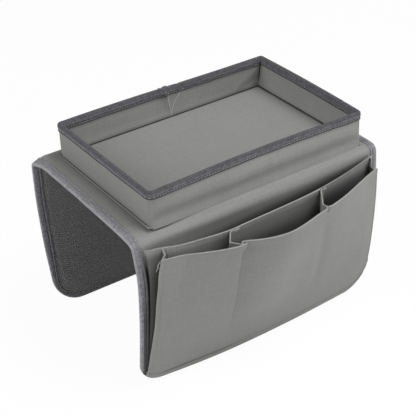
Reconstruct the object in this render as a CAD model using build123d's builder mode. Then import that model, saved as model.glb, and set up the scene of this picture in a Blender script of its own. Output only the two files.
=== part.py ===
from build123d import *
import os
from math import sqrt

# Sofa arm tray: a sewn saddle that hangs over the arm of a sofa, with a boxed tray
# on its top and a gusseted pocket, sewn in three bays, on its front flap.
# X runs along the sofa arm, -Y is the pocket side, +Z is up. The tray stands on the
# bottom edges of its two flaps. The origin is on that ground, under the middle of
# the whole outline. All sizes are in millimetres.

# Saddle
saddle_width = 330.0
saddle_depth = 225.0
saddle_height = 202.0
shoulder_radius = 8.0
front_foot_reach = 105.0
front_bulge = 7.5
rear_foot_reach = 88.0
rear_bulge = 9.0
front_corner_radius = 28.0
rear_corner_radius = 30.0

# Plies, from the outer face inwards
cloth = 0.9
board = 2.0
liner = 0.9
grip_field = 2.0
grip_field_margin = 1.5
ply_gap = 0.1

# Binding tape, 22 mm wide and folded in half over every edge
tape = 0.8
tape_width = 11.0

# Tray
tray_height = 43.4
tray_corner_radius = 9.0
wall_board = 2.5
floor_board = 2.5
board_end_gap = 1.0
rear_board_split = 5.0
welt_width = 2.5
welt_height = 1.2

# Gaps round the tray's foot seam, to the side bindings and to the start of each shoulder
tray_gap_left = 14.5
tray_gap_right = 2.5
tray_gap_front = 0.25
tray_gap_rear = 11.25

# Pocket
back_mouth_height = 188.0
front_mouth_height = 182.0
back_bow = 19.0
seam_bow = 0.6
mouth_end_reach = 14.0
mouth_divider_reach = 46.0
mouth_middle_reach = 60.0
side_bay_bulge = 2.0
mouth_draw_in = 8.0
divider_left_x = -62.0
divider_right_x = 58.0
gusset_cloth = 0.6
end_gusset_setback = 16.0
end_gusset_fold = 8.0
divider_fold = 14.0
hem_height = 12.0
hem_cloth = 0.9
back_hem_end_gap = 34.0
front_hem_end_gap = 9.0
gusset_drop = 1.5

# Clearances: between plies of the pocket, and between pieces that move apart
pocket_gap = 0.3
gusset_gap = 0.6
joint_gap = 0.3
overrun = 10.0

# How far the pocket stands open at shares of its height, as shares of its mouth
opening_shares = ((0.0, 0.0), (0.25, 0.17), (0.5, 0.41), (0.75, 0.69), (1.0, 1.0))
gusset_shares = (0.36, 0.5, 0.75, 1.0)

# Worked out from the sizes above
stack = cloth + ply_gap + board + ply_gap + liner
board_depth = cloth + ply_gap
liner_depth = board_depth + board + ply_gap
tape_stand = ply_gap + tape
shoulder_z = saddle_height - shoulder_radius
shoulder_reach = saddle_depth / 2 - shoulder_radius
flap_top = shoulder_z - joint_gap
ply_inset = tape_stand
window_inset = tape_width + pocket_gap
tray_length = saddle_width - 2 * (tape_width + welt_width) - tray_gap_left - tray_gap_right
tray_breadth = saddle_depth - 2 * (shoulder_radius + welt_width) - tray_gap_front - tray_gap_rear
pocket_foot = window_inset
front = -1
rear = 1


def flap_curve(side, foot_reach, bulge):
    """Centre (from the saddle's middle) and radius of the arc that a flap's outer face follows."""
    top_y = side * saddle_depth / 2
    foot_y = side * foot_reach
    chord = sqrt((top_y - foot_y) ** 2 + shoulder_z**2)
    radius = (chord**2 + 4 * bulge**2) / (8 * bulge)
    sink = radius - bulge
    out_y = shoulder_z / chord
    out_z = side * (foot_y - top_y) / chord
    centre_y = (top_y + foot_y) / 2 - side * sink * out_y
    centre_z = shoulder_z / 2 - sink * out_z
    return side, centre_y, centre_z, radius


front_arc = flap_curve(front, front_foot_reach, front_bulge)
rear_arc = flap_curve(rear, rear_foot_reach, rear_bulge)


def arc_y(curve, depth, z):
    """Y, from the saddle's middle, of the face that lies depth inside a flap's outer face."""
    side, centre_y, centre_z, radius = curve
    return centre_y + side * sqrt((radius - depth) ** 2 - (z - centre_z) ** 2)


def widest(curve):
    """The furthest that a flap's outer face stands from the saddle's middle."""
    side, centre_y, centre_z, radius = curve
    if 0 < centre_z < flap_top:
        return abs(centre_y + side * radius)
    return max(abs(arc_y(curve, 0, flap_top)), abs(arc_y(curve, 0, 0)))


back_face_depth = pocket_gap + cloth
front_face_depth = back_face_depth + pocket_gap + cloth
mouth_reach = front_face_depth + 2 * seam_bow + mouth_middle_reach
front_edge = mouth_reach - arc_y(front_arc, 0, front_mouth_height)
rear_edge = max(widest(rear_arc), saddle_depth / 2) + tape_stand
saddle_y = (front_edge - rear_edge) / 2
tray_x = (tray_gap_left - tray_gap_right) / 2
tray_y = saddle_y + (tray_gap_front - tray_gap_rear) / 2


def level(z, x=0, y=0):
    """A level sketching plane, with its origin over (x, y)."""
    return Plane((x, y, z))


def slab(length, breadth, z, height, x=0, y=saddle_y):
    with BuildPart() as piece:
        with BuildSketch(level(z, x, y)):
            Rectangle(length, breadth)
        extrude(amount=height)
    return piece


# Saddle top, from the outer face inwards
top_length = saddle_width - 2 * ply_inset
top_breadth = 2 * shoulder_reach
top_cover = slab(top_length, top_breadth, saddle_height - cloth, cloth)
top_board = slab(top_length, top_breadth, saddle_height - board_depth - board, board)

grip_length = saddle_width - 2 * (tape_width + grip_field_margin)
grip_breadth = top_breadth - 2 * grip_field_margin
with BuildPart() as top_liner:
    with BuildSketch(level(saddle_height - liner_depth, 0, saddle_y)):
        Rectangle(top_length, top_breadth)
    extrude(amount=-liner)
    with BuildSketch(level(saddle_height - liner_depth, 0, saddle_y)):
        Rectangle(grip_length, grip_breadth)
    extrude(amount=-grip_field)


def draw_tape_section(end):
    """The tape's section around a straight edge: two arms and the fold between them."""
    with Locations((end * (saddle_width - tape_width) / 2, saddle_height - stack / 2)):
        Rectangle(tape_width, stack + 2 * tape_stand)
    with Locations((end * (saddle_width - tape_width - 2 * tape) / 2, saddle_height - stack / 2)):
        Rectangle(tape_width, stack + 2 * ply_gap, mode=Mode.SUBTRACT)


def top_binding(end):
    with BuildPart() as piece:
        with BuildSketch(Plane.XZ.offset(-saddle_y)):
            draw_tape_section(end)
        extrude(amount=top_breadth / 2, both=True)
    return piece


top_binding_left = top_binding(-1)
top_binding_right = top_binding(1)


def draw_shoulder(side, outer, inner):
    """A quarter ring between two radii about a shoulder's centre."""
    centre_y = saddle_y + side * shoulder_reach
    with BuildLine() as outline:
        Line((centre_y, shoulder_z + inner), (centre_y, shoulder_z + outer))
        RadiusArc(
            (centre_y, shoulder_z + outer), (centre_y + side * outer, shoulder_z), side * outer
        )
        Line((centre_y + side * outer, shoulder_z), (centre_y + side * inner, shoulder_z))
        RadiusArc(
            (centre_y + side * inner, shoulder_z), (centre_y, shoulder_z + inner), -side * inner
        )
    make_face(outline.edges())


def shoulder_ply(side, depth, thickness):
    outer = shoulder_radius - depth
    with BuildPart() as piece:
        with BuildSketch(Plane.YZ):
            draw_shoulder(side, outer, outer - thickness)
        extrude(amount=top_length / 2, both=True)
    return piece


def shoulder_binding(side, end):
    edge = end * saddle_width / 2
    with BuildPart() as piece:
        with BuildSketch(Plane.YZ.offset(edge)):
            draw_shoulder(side, shoulder_radius + tape_stand, shoulder_radius - stack - tape_stand)
        extrude(amount=-end * tape_width)
        with BuildSketch(Plane.YZ.offset(edge - end * tape)):
            draw_shoulder(side, shoulder_radius + ply_gap, shoulder_radius - stack - ply_gap)
        extrude(amount=-end * tape_width, mode=Mode.SUBTRACT)
    return piece


front_shoulder_cover = shoulder_ply(front, 0, cloth)
front_shoulder_liner = shoulder_ply(front, liner_depth, liner)
front_shoulder_binding_left = shoulder_binding(front, -1)
front_shoulder_binding_right = shoulder_binding(front, 1)
rear_shoulder_cover = shoulder_ply(rear, 0, cloth)
rear_shoulder_liner = shoulder_ply(rear, liner_depth, liner)
rear_shoulder_binding_left = shoulder_binding(rear, -1)
rear_shoulder_binding_right = shoulder_binding(rear, 1)


# Flaps: plies that follow one long arc, cut to an outline with round bottom corners
def draw_flap_profile(curve, near, far):
    high = saddle_height
    middle = shoulder_z / 2
    low = -overrun
    with BuildLine() as outline:
        ThreePointArc(
            (saddle_y + arc_y(curve, near, high), high),
            (saddle_y + arc_y(curve, near, middle), middle),
            (saddle_y + arc_y(curve, near, low), low),
        )
        Line((saddle_y + arc_y(curve, near, low), low), (saddle_y + arc_y(curve, far, low), low))
        ThreePointArc(
            (saddle_y + arc_y(curve, far, low), low),
            (saddle_y + arc_y(curve, far, middle), middle),
            (saddle_y + arc_y(curve, far, high), high),
        )
        Line((saddle_y + arc_y(curve, far, high), high), (saddle_y + arc_y(curve, near, high), high))
    make_face(outline.edges())


def draw_flap_outline(corner_radius, inset, top):
    with Locations((0, inset)):
        Rectangle(saddle_width - 2 * inset, top - inset, align=(Align.CENTER, Align.MIN))
    fillet(vertices().group_by(Axis.Y)[0], radius=max(corner_radius - inset, tape))


def flap_layer(curve, corner_radius, near, far, inset, top):
    with BuildPart() as piece:
        with BuildSketch(Plane.YZ):
            draw_flap_profile(curve, near, far)
        extrude(amount=saddle_width / 2, both=True)
        with BuildSketch(Plane.XZ):
            draw_flap_outline(corner_radius, inset, top)
        extrude(amount=saddle_depth, both=True, mode=Mode.INTERSECT)
    return piece


def flap_binding(curve, corner_radius):
    slot = flap_layer(curve, corner_radius, -ply_gap, stack + ply_gap, tape, saddle_height)
    with BuildPart() as piece:
        add(flap_layer(curve, corner_radius, -tape_stand, stack + tape_stand, 0, flap_top).part)
        add(slot.part, mode=Mode.SUBTRACT)
        with BuildSketch(Plane.XZ):
            draw_flap_outline(corner_radius, tape_width, saddle_height)
        extrude(amount=saddle_depth, both=True, mode=Mode.SUBTRACT)
    return piece


def flap_ply(curve, corner_radius, depth, thickness):
    return flap_layer(curve, corner_radius, depth, depth + thickness, ply_inset, flap_top)


front_flap_cover = flap_ply(front_arc, front_corner_radius, 0, cloth)
front_flap_board = flap_ply(front_arc, front_corner_radius, board_depth, board)
front_flap_liner = flap_ply(front_arc, front_corner_radius, liner_depth, liner)
front_flap_binding = flap_binding(front_arc, front_corner_radius)
rear_flap_cover = flap_ply(rear_arc, rear_corner_radius, 0, cloth)
rear_flap_board = flap_ply(rear_arc, rear_corner_radius, board_depth, board)
rear_flap_liner = flap_ply(rear_arc, rear_corner_radius, liner_depth, liner)
rear_flap_binding = flap_binding(rear_arc, rear_corner_radius)


# Tray, a box of cloth over boards, on the saddle's top
foot_z = saddle_height + ply_gap
rim_z = saddle_height + tray_height
band_top = rim_z - tape_stand
board_in = cloth + ply_gap
lining_in = board_in + wall_board + ply_gap
wall = lining_in + cloth


def draw_tray_ring(outer_in, inner_in):
    """A rounded ring, between two insets from the outer face of the tray's wall."""
    for inset, mode in ((outer_in, Mode.ADD), (inner_in, Mode.SUBTRACT)):
        RectangleRounded(
            tray_length - 2 * inset,
            tray_breadth - 2 * inset,
            max(tray_corner_radius - inset, tape),
            mode=mode,
        )


def tray_ring(outer_in, inner_in, z, top):
    with BuildPart() as piece:
        with BuildSketch(level(z, tray_x, tray_y)):
            draw_tray_ring(outer_in, inner_in)
        extrude(amount=top - z)
    return piece


tray_outer_band = tray_ring(0, cloth, foot_z, band_top)
tray_inner_band = tray_ring(lining_in, wall, foot_z, band_top)
tray_foot_welt = tray_ring(-welt_width, -ply_gap, foot_z, foot_z + welt_height)

with BuildPart() as tray_rim_binding:
    with BuildSketch(level(rim_z - tape_width, tray_x, tray_y)):
        draw_tray_ring(-tape_stand, wall + tape_stand)
    extrude(amount=tape_width)
    with BuildSketch(level(rim_z - tape, tray_x, tray_y)):
        draw_tray_ring(-ply_gap, wall + ply_gap)
    extrude(amount=-tape_width, mode=Mode.SUBTRACT)

long_board = tray_length - 2 * (tray_corner_radius + board_end_gap)
short_board = tray_breadth - 2 * (tray_corner_radius + board_end_gap)
half_board = (long_board - rear_board_split) / 2
board_mid = board_in + wall_board / 2
wall_x = tray_length / 2 - board_mid
wall_y = tray_breadth / 2 - board_mid
half_x = (half_board + rear_board_split) / 2
wall_foot = foot_z + ply_gap
wall_rise = band_top - ply_gap - wall_foot
tray_board_front = slab(long_board, wall_board, wall_foot, wall_rise, tray_x, tray_y - wall_y)
tray_board_rear_left = slab(
    half_board, wall_board, wall_foot, wall_rise, tray_x - half_x, tray_y + wall_y
)
tray_board_rear_right = slab(
    half_board, wall_board, wall_foot, wall_rise, tray_x + half_x, tray_y + wall_y
)
tray_board_left = slab(wall_board, short_board, wall_foot, wall_rise, tray_x - wall_x, tray_y)
tray_board_right = slab(wall_board, short_board, wall_foot, wall_rise, tray_x + wall_x, tray_y)

floor_in = wall + ply_gap


def tray_floor_ply(z, thickness):
    with BuildPart() as piece:
        with BuildSketch(level(z, tray_x, tray_y)):
            RectangleRounded(
                tray_length - 2 * floor_in,
                tray_breadth - 2 * floor_in,
                max(tray_corner_radius - floor_in, tape),
            )
        extrude(amount=thickness)
    return piece


tray_floor_board = tray_floor_ply(foot_z, floor_board)
tray_floor_cloth = tray_floor_ply(foot_z + floor_board + ply_gap, cloth)


# Pocket: a back panel that bows off the flap, and a front panel that stands open in three bays
def pocket_half(mouth_share):
    """Half the front panel's width, drawn in a little towards its mouth."""
    return saddle_width / 2 - window_inset - mouth_draw_in * mouth_share


def flap_y(z):
    return saddle_y + arc_y(front_arc, 0, z)


def back_points(z, mouth_share, depth):
    """Three points, across the back panel, of the face that lies depth in front of the flap."""
    half = saddle_width / 2 - window_inset
    end_y = flap_y(z) - depth
    middle_y = end_y - seam_bow - back_bow * mouth_share
    return (-half, end_y), (0, middle_y), (half, end_y)


def back_y(z, mouth_share, depth, x):
    """The same face's Y at x, on the arc through those three points."""
    left, middle, _ = back_points(z, mouth_share, depth)
    sagitta = left[1] - middle[1]
    radius = (left[0] ** 2 + sagitta**2) / (2 * sagitta)
    return middle[1] + radius - sqrt(radius**2 - x**2)


def front_points(z, mouth_share, depth):
    """Seven points, across the front panel: its ends, its dividers and the middle of each bay."""
    half = pocket_half(mouth_share)
    base = flap_y(z) - depth
    ends = base - mouth_end_reach * mouth_share
    seams = base - seam_bow - mouth_divider_reach * mouth_share
    middle = base - 2 * seam_bow - mouth_middle_reach * mouth_share
    side_middle = (ends + seams) / 2 - seam_bow - side_bay_bulge * mouth_share
    middle_x = (divider_left_x + divider_right_x) / 2
    return (
        (-half, ends),
        ((-half + divider_left_x) / 2, side_middle),
        (divider_left_x, seams),
        (middle_x, middle),
        (divider_right_x, seams),
        ((half + divider_right_x) / 2, side_middle),
        (half, ends),
    )


def height_at(share, top):
    return pocket_foot + share * (top - pocket_foot)


def opening_at(z, top):
    """How far open a panel with its mouth at top stands at a height, as a share of its mouth."""
    share = (z - pocket_foot) / (top - pocket_foot)
    for (low, low_open), (high, high_open) in zip(opening_shares, opening_shares[1:]):
        if share <= high:
            return low_open + (high_open - low_open) * (share - low) / (high - low)
    return 1


def draw_strip(near, far):
    """The face between two runs of arcs, three points to the first arc and two to each other."""
    with BuildLine() as outline:
        for start in range(0, len(near) - 2, 2):
            ThreePointArc(near[start], near[start + 1], near[start + 2])
        Line(near[-1], far[-1])
        for end in range(len(far) - 1, 1, -2):
            ThreePointArc(far[end], far[end - 1], far[end - 2])
        Line(far[0], near[0])
    make_face(outline.edges())


def cut_to_window():
    with BuildSketch(Plane.XZ) as window:
        draw_flap_outline(front_corner_radius, window_inset, saddle_height)
    extrude(
        window.sketch, amount=saddle_depth + mouth_middle_reach, both=True, mode=Mode.INTERSECT
    )


with BuildPart() as pocket_back_panel:
    for share, mouth_share in opening_shares:
        z = height_at(share, back_mouth_height)
        with BuildSketch(level(z)):
            draw_strip(
                back_points(z, mouth_share, pocket_gap),
                back_points(z, mouth_share, back_face_depth),
            )
    loft()
    cut_to_window()

with BuildPart() as pocket_front_panel:
    for share, mouth_share in opening_shares:
        z = height_at(share, front_mouth_height)
        with BuildSketch(level(z)):
            draw_strip(
                front_points(z, mouth_share, back_face_depth + pocket_gap),
                front_points(z, mouth_share, front_face_depth),
            )
    loft()
    cut_to_window()


def trimmed(points, end_gap):
    """The strip's points with its two ends drawn in along their arcs."""
    first, second = points[0], points[1]
    last, before = points[-1], points[-2]
    share = end_gap / (second[0] - first[0])
    left = (first[0] + end_gap, first[1] + (second[1] - first[1]) * share)
    right = (last[0] - end_gap, last[1] + (before[1] - last[1]) * share)
    return (left, *points[1:-1], right)


with BuildPart() as pocket_front_hem:
    for z in (front_mouth_height - hem_height, front_mouth_height):
        mouth_share = opening_at(z, front_mouth_height)
        inner = back_face_depth - hem_cloth
        with BuildSketch(level(z)):
            draw_strip(
                trimmed(front_points(z, mouth_share, inner), front_hem_end_gap),
                trimmed(front_points(z, mouth_share, inner + hem_cloth), front_hem_end_gap),
            )
    loft(ruled=True)

with BuildPart() as pocket_back_hem:
    half = saddle_width / 2 - window_inset - back_hem_end_gap
    for z in (back_mouth_height - hem_height, back_mouth_height):
        mouth_share = opening_at(z, back_mouth_height)
        with BuildSketch(level(z)):
            draw_strip(
                tuple((x, back_y(z, mouth_share, -hem_cloth, x)) for x in (-half, 0, half)),
                tuple((x, back_y(z, mouth_share, 0, x)) for x in (-half, 0, half)),
            )
    loft(ruled=True)


# Gussets: cloth folded once, in a V between the two panels, that lets the mouth open
def front_y(z, mouth_share, x):
    """Y of the front panel's inner face at x, along the chords of its bays."""
    points = front_points(z, mouth_share, back_face_depth - hem_cloth - gusset_gap)[::2]
    for (low_x, low_y), (high_x, high_y) in zip(points, points[1:]):
        if x <= high_x:
            return low_y + (high_y - low_y) * (x - low_x) / (high_x - low_x)
    return points[-1][1]


def gusset(back_x, front_x, fold):
    """A V that opens away from its fold. Fold is how far the fold stands beyond its ends at the mouth."""
    with BuildPart() as piece:
        for share in gusset_shares:
            z = height_at(share, front_mouth_height - gusset_drop)
            mouth_share = opening_at(z, front_mouth_height)
            back_share = opening_at(z, back_mouth_height)
            near = back_y(z, back_share, back_face_depth + gusset_gap, back_x)
            far = front_y(z, mouth_share, front_x)
            fold_x = (back_x + front_x) / 2 + fold * mouth_share
            fold_y = (near + far) / 2
            thick = gusset_cloth if fold > 0 else -gusset_cloth
            with BuildSketch(level(z)):
                with BuildLine():
                    Polyline(
                        (back_x, near),
                        (fold_x, fold_y),
                        (front_x, far),
                        (front_x - thick, far),
                        (fold_x - 2 * thick, fold_y),
                        (back_x - thick, near),
                        close=True,
                    )
                make_face()
        loft(ruled=True)
    return piece


gusset_end = pocket_half(1) - front_hem_end_gap / 2
pocket_gusset_left = gusset(end_gusset_setback - gusset_end, -gusset_end, end_gusset_fold)
pocket_gusset_right = gusset(gusset_end - end_gusset_setback, gusset_end, -end_gusset_fold)
pocket_divider_left = gusset(divider_left_x, divider_left_x, -divider_fold)
pocket_divider_right = gusset(divider_right_x, divider_right_x, -divider_fold)

pieces = {
    "top_cover": top_cover,
    "top_board": top_board,
    "top_liner": top_liner,
    "top_binding_left": top_binding_left,
    "top_binding_right": top_binding_right,
    "front_shoulder_cover": front_shoulder_cover,
    "front_shoulder_liner": front_shoulder_liner,
    "front_shoulder_binding_left": front_shoulder_binding_left,
    "front_shoulder_binding_right": front_shoulder_binding_right,
    "rear_shoulder_cover": rear_shoulder_cover,
    "rear_shoulder_liner": rear_shoulder_liner,
    "rear_shoulder_binding_left": rear_shoulder_binding_left,
    "rear_shoulder_binding_right": rear_shoulder_binding_right,
    "front_flap_cover": front_flap_cover,
    "front_flap_board": front_flap_board,
    "front_flap_liner": front_flap_liner,
    "front_flap_binding": front_flap_binding,
    "rear_flap_cover": rear_flap_cover,
    "rear_flap_board": rear_flap_board,
    "rear_flap_liner": rear_flap_liner,
    "rear_flap_binding": rear_flap_binding,
    "tray_floor_board": tray_floor_board,
    "tray_floor_cloth": tray_floor_cloth,
    "tray_outer_band": tray_outer_band,
    "tray_inner_band": tray_inner_band,
    "tray_board_front": tray_board_front,
    "tray_board_rear_left": tray_board_rear_left,
    "tray_board_rear_right": tray_board_rear_right,
    "tray_board_left": tray_board_left,
    "tray_board_right": tray_board_right,
    "tray_rim_binding": tray_rim_binding,
    "tray_foot_welt": tray_foot_welt,
    "pocket_back_panel": pocket_back_panel,
    "pocket_back_hem": pocket_back_hem,
    "pocket_front_panel": pocket_front_panel,
    "pocket_front_hem": pocket_front_hem,
    "pocket_gusset_left": pocket_gusset_left,
    "pocket_gusset_right": pocket_gusset_right,
    "pocket_divider_left": pocket_divider_left,
    "pocket_divider_right": pocket_divider_right,
}

os.makedirs("parts", exist_ok=True)
for name, piece in pieces.items():
    piece.part.label = name
    export_step(piece.part, f"parts/{name}.step")

print(f"saddle middle at y {saddle_y:.3f}, tray middle at {tray_x:.3f}, {tray_y:.3f}")
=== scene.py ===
import bisect
import random
from functools import partial
from math import cos, e, hypot, pi, radians, sin

import bmesh
import bpy
from mathutils import Matrix, Vector, noise


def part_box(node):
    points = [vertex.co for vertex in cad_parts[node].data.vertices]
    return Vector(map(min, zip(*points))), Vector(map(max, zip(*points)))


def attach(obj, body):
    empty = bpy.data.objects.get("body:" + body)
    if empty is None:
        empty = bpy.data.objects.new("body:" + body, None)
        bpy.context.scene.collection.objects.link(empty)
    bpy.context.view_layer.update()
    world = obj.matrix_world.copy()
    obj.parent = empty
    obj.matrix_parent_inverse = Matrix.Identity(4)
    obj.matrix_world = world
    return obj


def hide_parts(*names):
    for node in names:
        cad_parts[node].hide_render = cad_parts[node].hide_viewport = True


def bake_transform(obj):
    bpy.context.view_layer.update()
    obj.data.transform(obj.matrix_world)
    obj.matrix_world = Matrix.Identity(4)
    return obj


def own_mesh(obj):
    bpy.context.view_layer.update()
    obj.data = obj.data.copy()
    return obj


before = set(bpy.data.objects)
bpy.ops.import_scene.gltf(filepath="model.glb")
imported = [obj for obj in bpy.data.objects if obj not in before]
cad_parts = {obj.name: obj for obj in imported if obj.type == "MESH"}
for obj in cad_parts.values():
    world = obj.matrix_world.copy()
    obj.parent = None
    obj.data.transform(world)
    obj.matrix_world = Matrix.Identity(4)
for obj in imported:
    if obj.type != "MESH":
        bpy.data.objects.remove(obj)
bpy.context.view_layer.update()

# Sofa arm tray: looks of every cloth, tape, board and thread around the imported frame.
# Lengths in this script are millimetres and become metres where a mesh is made.
mm = 0.001
front = -1
rear = 1
chance = random.Random(7)


def nodeCorners(node):
    low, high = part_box(node)
    return Vector(low) / mm, Vector(high) / mm


# Sizes read from the frame
topLow, topHigh = nodeCorners("top_cover")
edgeX = nodeCorners("top_binding_right")[1].x
middleY = (topLow.y + topHigh.y) / 2
topZ = topHigh.z
trayLow, trayHigh = nodeCorners("tray_outer_band")
rimZ = nodeCorners("tray_rim_binding")[1].z
floorTop = nodeCorners("tray_floor_cloth")[1].z
frontMouthZ = nodeCorners("pocket_front_panel")[1].z
backMouthZ = nodeCorners("pocket_back_panel")[1].z
pocketFootZ = nodeCorners("pocket_front_panel")[0].z


def clamp(value, low=0.0, high=1.0):
    return max(low, min(high, value))


def smooth(value):
    value = clamp(value)
    return value * value * (3 - 2 * value)


def mix(a, b, share):
    return a + (b - a) * share


def bell(offset, width):
    # one at no offset, falling away on both sides
    return e ** -((offset / width) ** 2)


# Curves

def smoothLine(points, steps=16):
    # a smooth line through given points, however unevenly they are spaced
    points = [Vector(p) for p in points]
    ends = [points[0] * 2 - points[1]] + points + [points[-1] * 2 - points[-2]]
    line = []
    for a, b, c, d in zip(ends, ends[1:], ends[2:], ends[3:]):
        knots = [0.0]
        for p, q in ((a, b), (b, c), (c, d)):
            knots.append(knots[-1] + max((q - p).length, 1e-6) ** 0.5)
        for step in range(steps):
            t = mix(knots[1], knots[2], step / steps)
            one = a.lerp(b, (t - knots[0]) / (knots[1] - knots[0]))
            two = b.lerp(c, (t - knots[1]) / (knots[2] - knots[1]))
            three = c.lerp(d, (t - knots[2]) / (knots[3] - knots[2]))
            four = one.lerp(two, (t - knots[0]) / (knots[2] - knots[0]))
            five = two.lerp(three, (t - knots[1]) / (knots[3] - knots[1]))
            line.append(four.lerp(five, (t - knots[1]) / (knots[2] - knots[1])))
    line.append(points[-1])
    return line


def lengthsAlong(line):
    total = [0.0]
    for a, b in zip(line, line[1:]):
        total.append(total[-1] + (b - a).length)
    return total


def stretchAt(total, distance):
    # which stretch of a line holds a distance along it, and what share of that stretch lies before it
    k = int(clamp(bisect.bisect_right(total, distance) - 1, 0, len(total) - 2))
    return k, (distance - total[k]) / max(total[k + 1] - total[k], 1e-9)


def evenLine(line, count):
    # the same line as count + 1 points that are evenly spaced
    total = lengthsAlong(line)
    points = []
    for step in range(count + 1):
        k, part = stretchAt(total, total[-1] * step / count)
        points.append(line[k].lerp(line[k + 1], part))
    return points


def curveAt(samples, share):
    place = clamp(share) * (len(samples) - 1)
    k = min(int(place), len(samples) - 2)
    return samples[k].lerp(samples[k + 1], place - k)


def tableCurve(pairs):
    # a smooth height over x, from given (x, height) pairs
    line = smoothLine(pairs, 12)
    xs = [p[0] for p in line]

    def heightAt(x):
        k, part = stretchAt(xs, x)
        return mix(line[k][1], line[k + 1][1], clamp(part))

    return heightAt


def roundTurns(count):
    # angles evenly round a circle
    return [2 * pi * k / count for k in range(count)]


# Meshes; each takes the name of one of the finishes further down

sewing = {
    # a raw edge bulges by this share of the cloth's thickness
    "edgeRound": 0.3,
    # where a stitch is thickest, as shares of its length, and how flat it lies
    "fullShares": (0.22, 0.78),
    "flatShare": 0.8,
    # hand-set stitches are this uneven, in millimetres
    "uneven": 0.12,
}


def makePiece(name, points, faces, finish, uvs, sharp):
    mesh = bpy.data.meshes.new(name)
    mesh.from_pydata([Vector(p) * mm for p in points], [], faces)
    layer = mesh.uv_layers.new(name="threads")
    for loop in mesh.loops:
        layer.data[loop.index].uv = uvs[loop.vertex_index]
    work = bmesh.new()
    work.from_mesh(mesh)
    bmesh.ops.recalc_face_normals(work, faces=work.faces)
    work.to_mesh(mesh)
    work.free()
    mesh.shade_smooth()
    mesh.set_sharp_from_angle(angle=radians(sharp))
    piece = bpy.data.objects.new(name, mesh)
    bpy.context.scene.collection.objects.link(piece)
    piece.data.materials.append(made[finish])
    return piece


def paintFaces(piece, finish, chosen):
    # gives the chosen faces another finish
    piece.data.materials.append(made[finish])
    for face in piece.data.polygons:
        if chosen(face):
            face.material_index = len(piece.data.materials) - 1


def gridNormals(grid):
    rows, columns = len(grid), len(grid[0])
    normals = []
    for r in range(rows):
        row = []
        for c in range(columns):
            across = grid[r][min(c + 1, columns - 1)] - grid[r][max(c - 1, 0)]
            along = grid[min(r + 1, rows - 1)][c] - grid[max(r - 1, 0)][c]
            row.append(across.cross(along).normalized())
        normals.append(row)
    return normals


def clothPiece(name, nearGrid, farGrid, finish, edge=None):
    # one closed cloth from its two faces; its raw edge is slightly rounded
    rows, columns = len(nearGrid), len(nearGrid[0])
    size = rows * columns
    points = [p for grid in (nearGrid, farGrid) for row in grid for p in row]
    # threads lie along the rows and columns, in metres
    acrossRow = lengthsAlong(nearGrid[rows // 2])
    alongColumn = lengthsAlong([row[columns // 2] for row in nearGrid])
    uvs = 2 * [(across * mm, along * mm) for along in alongColumn for across in acrossRow]
    faces = []
    for r in range(rows - 1):
        for c in range(columns - 1):
            a = r * columns + c
            quad = (a, a + 1, a + columns + 1, a + columns)
            faces.append(quad)
            faces.append(tuple(size + v for v in reversed(quad)))
    ring = [(0, c) for c in range(columns)] + [(r, columns - 1) for r in range(1, rows)]
    ring += [(rows - 1, c) for c in range(columns - 2, -1, -1)] + [(r, 0) for r in range(rows - 2, 0, -1)]
    start = len(points)
    for r, c in ring:
        inR, inC = int(clamp(r, 1, rows - 2)), int(clamp(c, 1, columns - 2))
        near, far = nearGrid[r][c], farGrid[r][c]
        out = near - nearGrid[inR][inC]
        out -= out.project(near - far) if (near - far).length > 1e-6 else Vector((0, 0, 0))
        bulge = (near - far).length * sewing["edgeRound"]
        points.append((near + far) / 2 + (out.normalized() * bulge if out.length > 1e-6 else out))
        uvs.append(uvs[r * columns + c])
    for k in range(len(ring)):
        (r, c), (r2, c2) = ring[k], ring[(k + 1) % len(ring)]
        a, b = r * columns + c, r2 * columns + c2
        m, n = start + k, start + (k + 1) % len(ring)
        faces.append((a, m, n, b))
        faces.append((size + a, size + b, n, m))
    piece = makePiece(name, points, faces, finish, uvs, 38)
    if edge:
        # the turned edge is painted lighter, a painted highlight where it catches light
        paintFaces(piece, edge, lambda face: max(face.vertices) >= start)
    return piece


def sheetPiece(name, grid, thickness, finish, outward=None, edge=None):
    # a cloth behind the grid of its outer face, as thick as a number or a function of the column says
    normals = gridNormals(grid)
    middle = normals[len(grid) // 2][len(grid[0]) // 2]
    sign = -1 if outward is not None and middle.dot(outward) < 0 else 1
    deep = [thickness(c) if callable(thickness) else thickness for c in range(len(grid[0]))]
    far = [[p - n * sign * d for p, n, d in zip(row, others, deep)] for row, others in zip(grid, normals)]
    return clothPiece(name, grid, far, finish, edge)


def sweptPiece(name, rings, finish, closed=False, sharp=50, bands=None):
    # rings of points joined one to the next, closed round or capped at both ends;
    # bands maps a finish to the places along a ring where it takes over
    count = len(rings[0])
    points = [p for ring in rings for p in ring]
    around = lengthsAlong(rings[0])
    along = lengthsAlong([ring[0] for ring in rings])
    uvs = [(far * mm, over * mm) for far in along for over in around]
    faces = []
    last = len(rings) if closed else len(rings) - 1
    for k in range(last):
        n = (k + 1) % len(rings)
        for j in range(count):
            i = (j + 1) % count
            faces.append((k * count + j, k * count + i, n * count + i, n * count + j))
    if not closed:
        faces.append(tuple(range(count)))
        faces.append(tuple(range((len(rings) - 1) * count, len(rings) * count)))
    piece = makePiece(name, points, faces, finish, uvs, sharp)
    for other, places in (bands or {}).items():
        paintFaces(piece, other, lambda face: face.index < last * count and face.index % count in places)
    return piece


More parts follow.
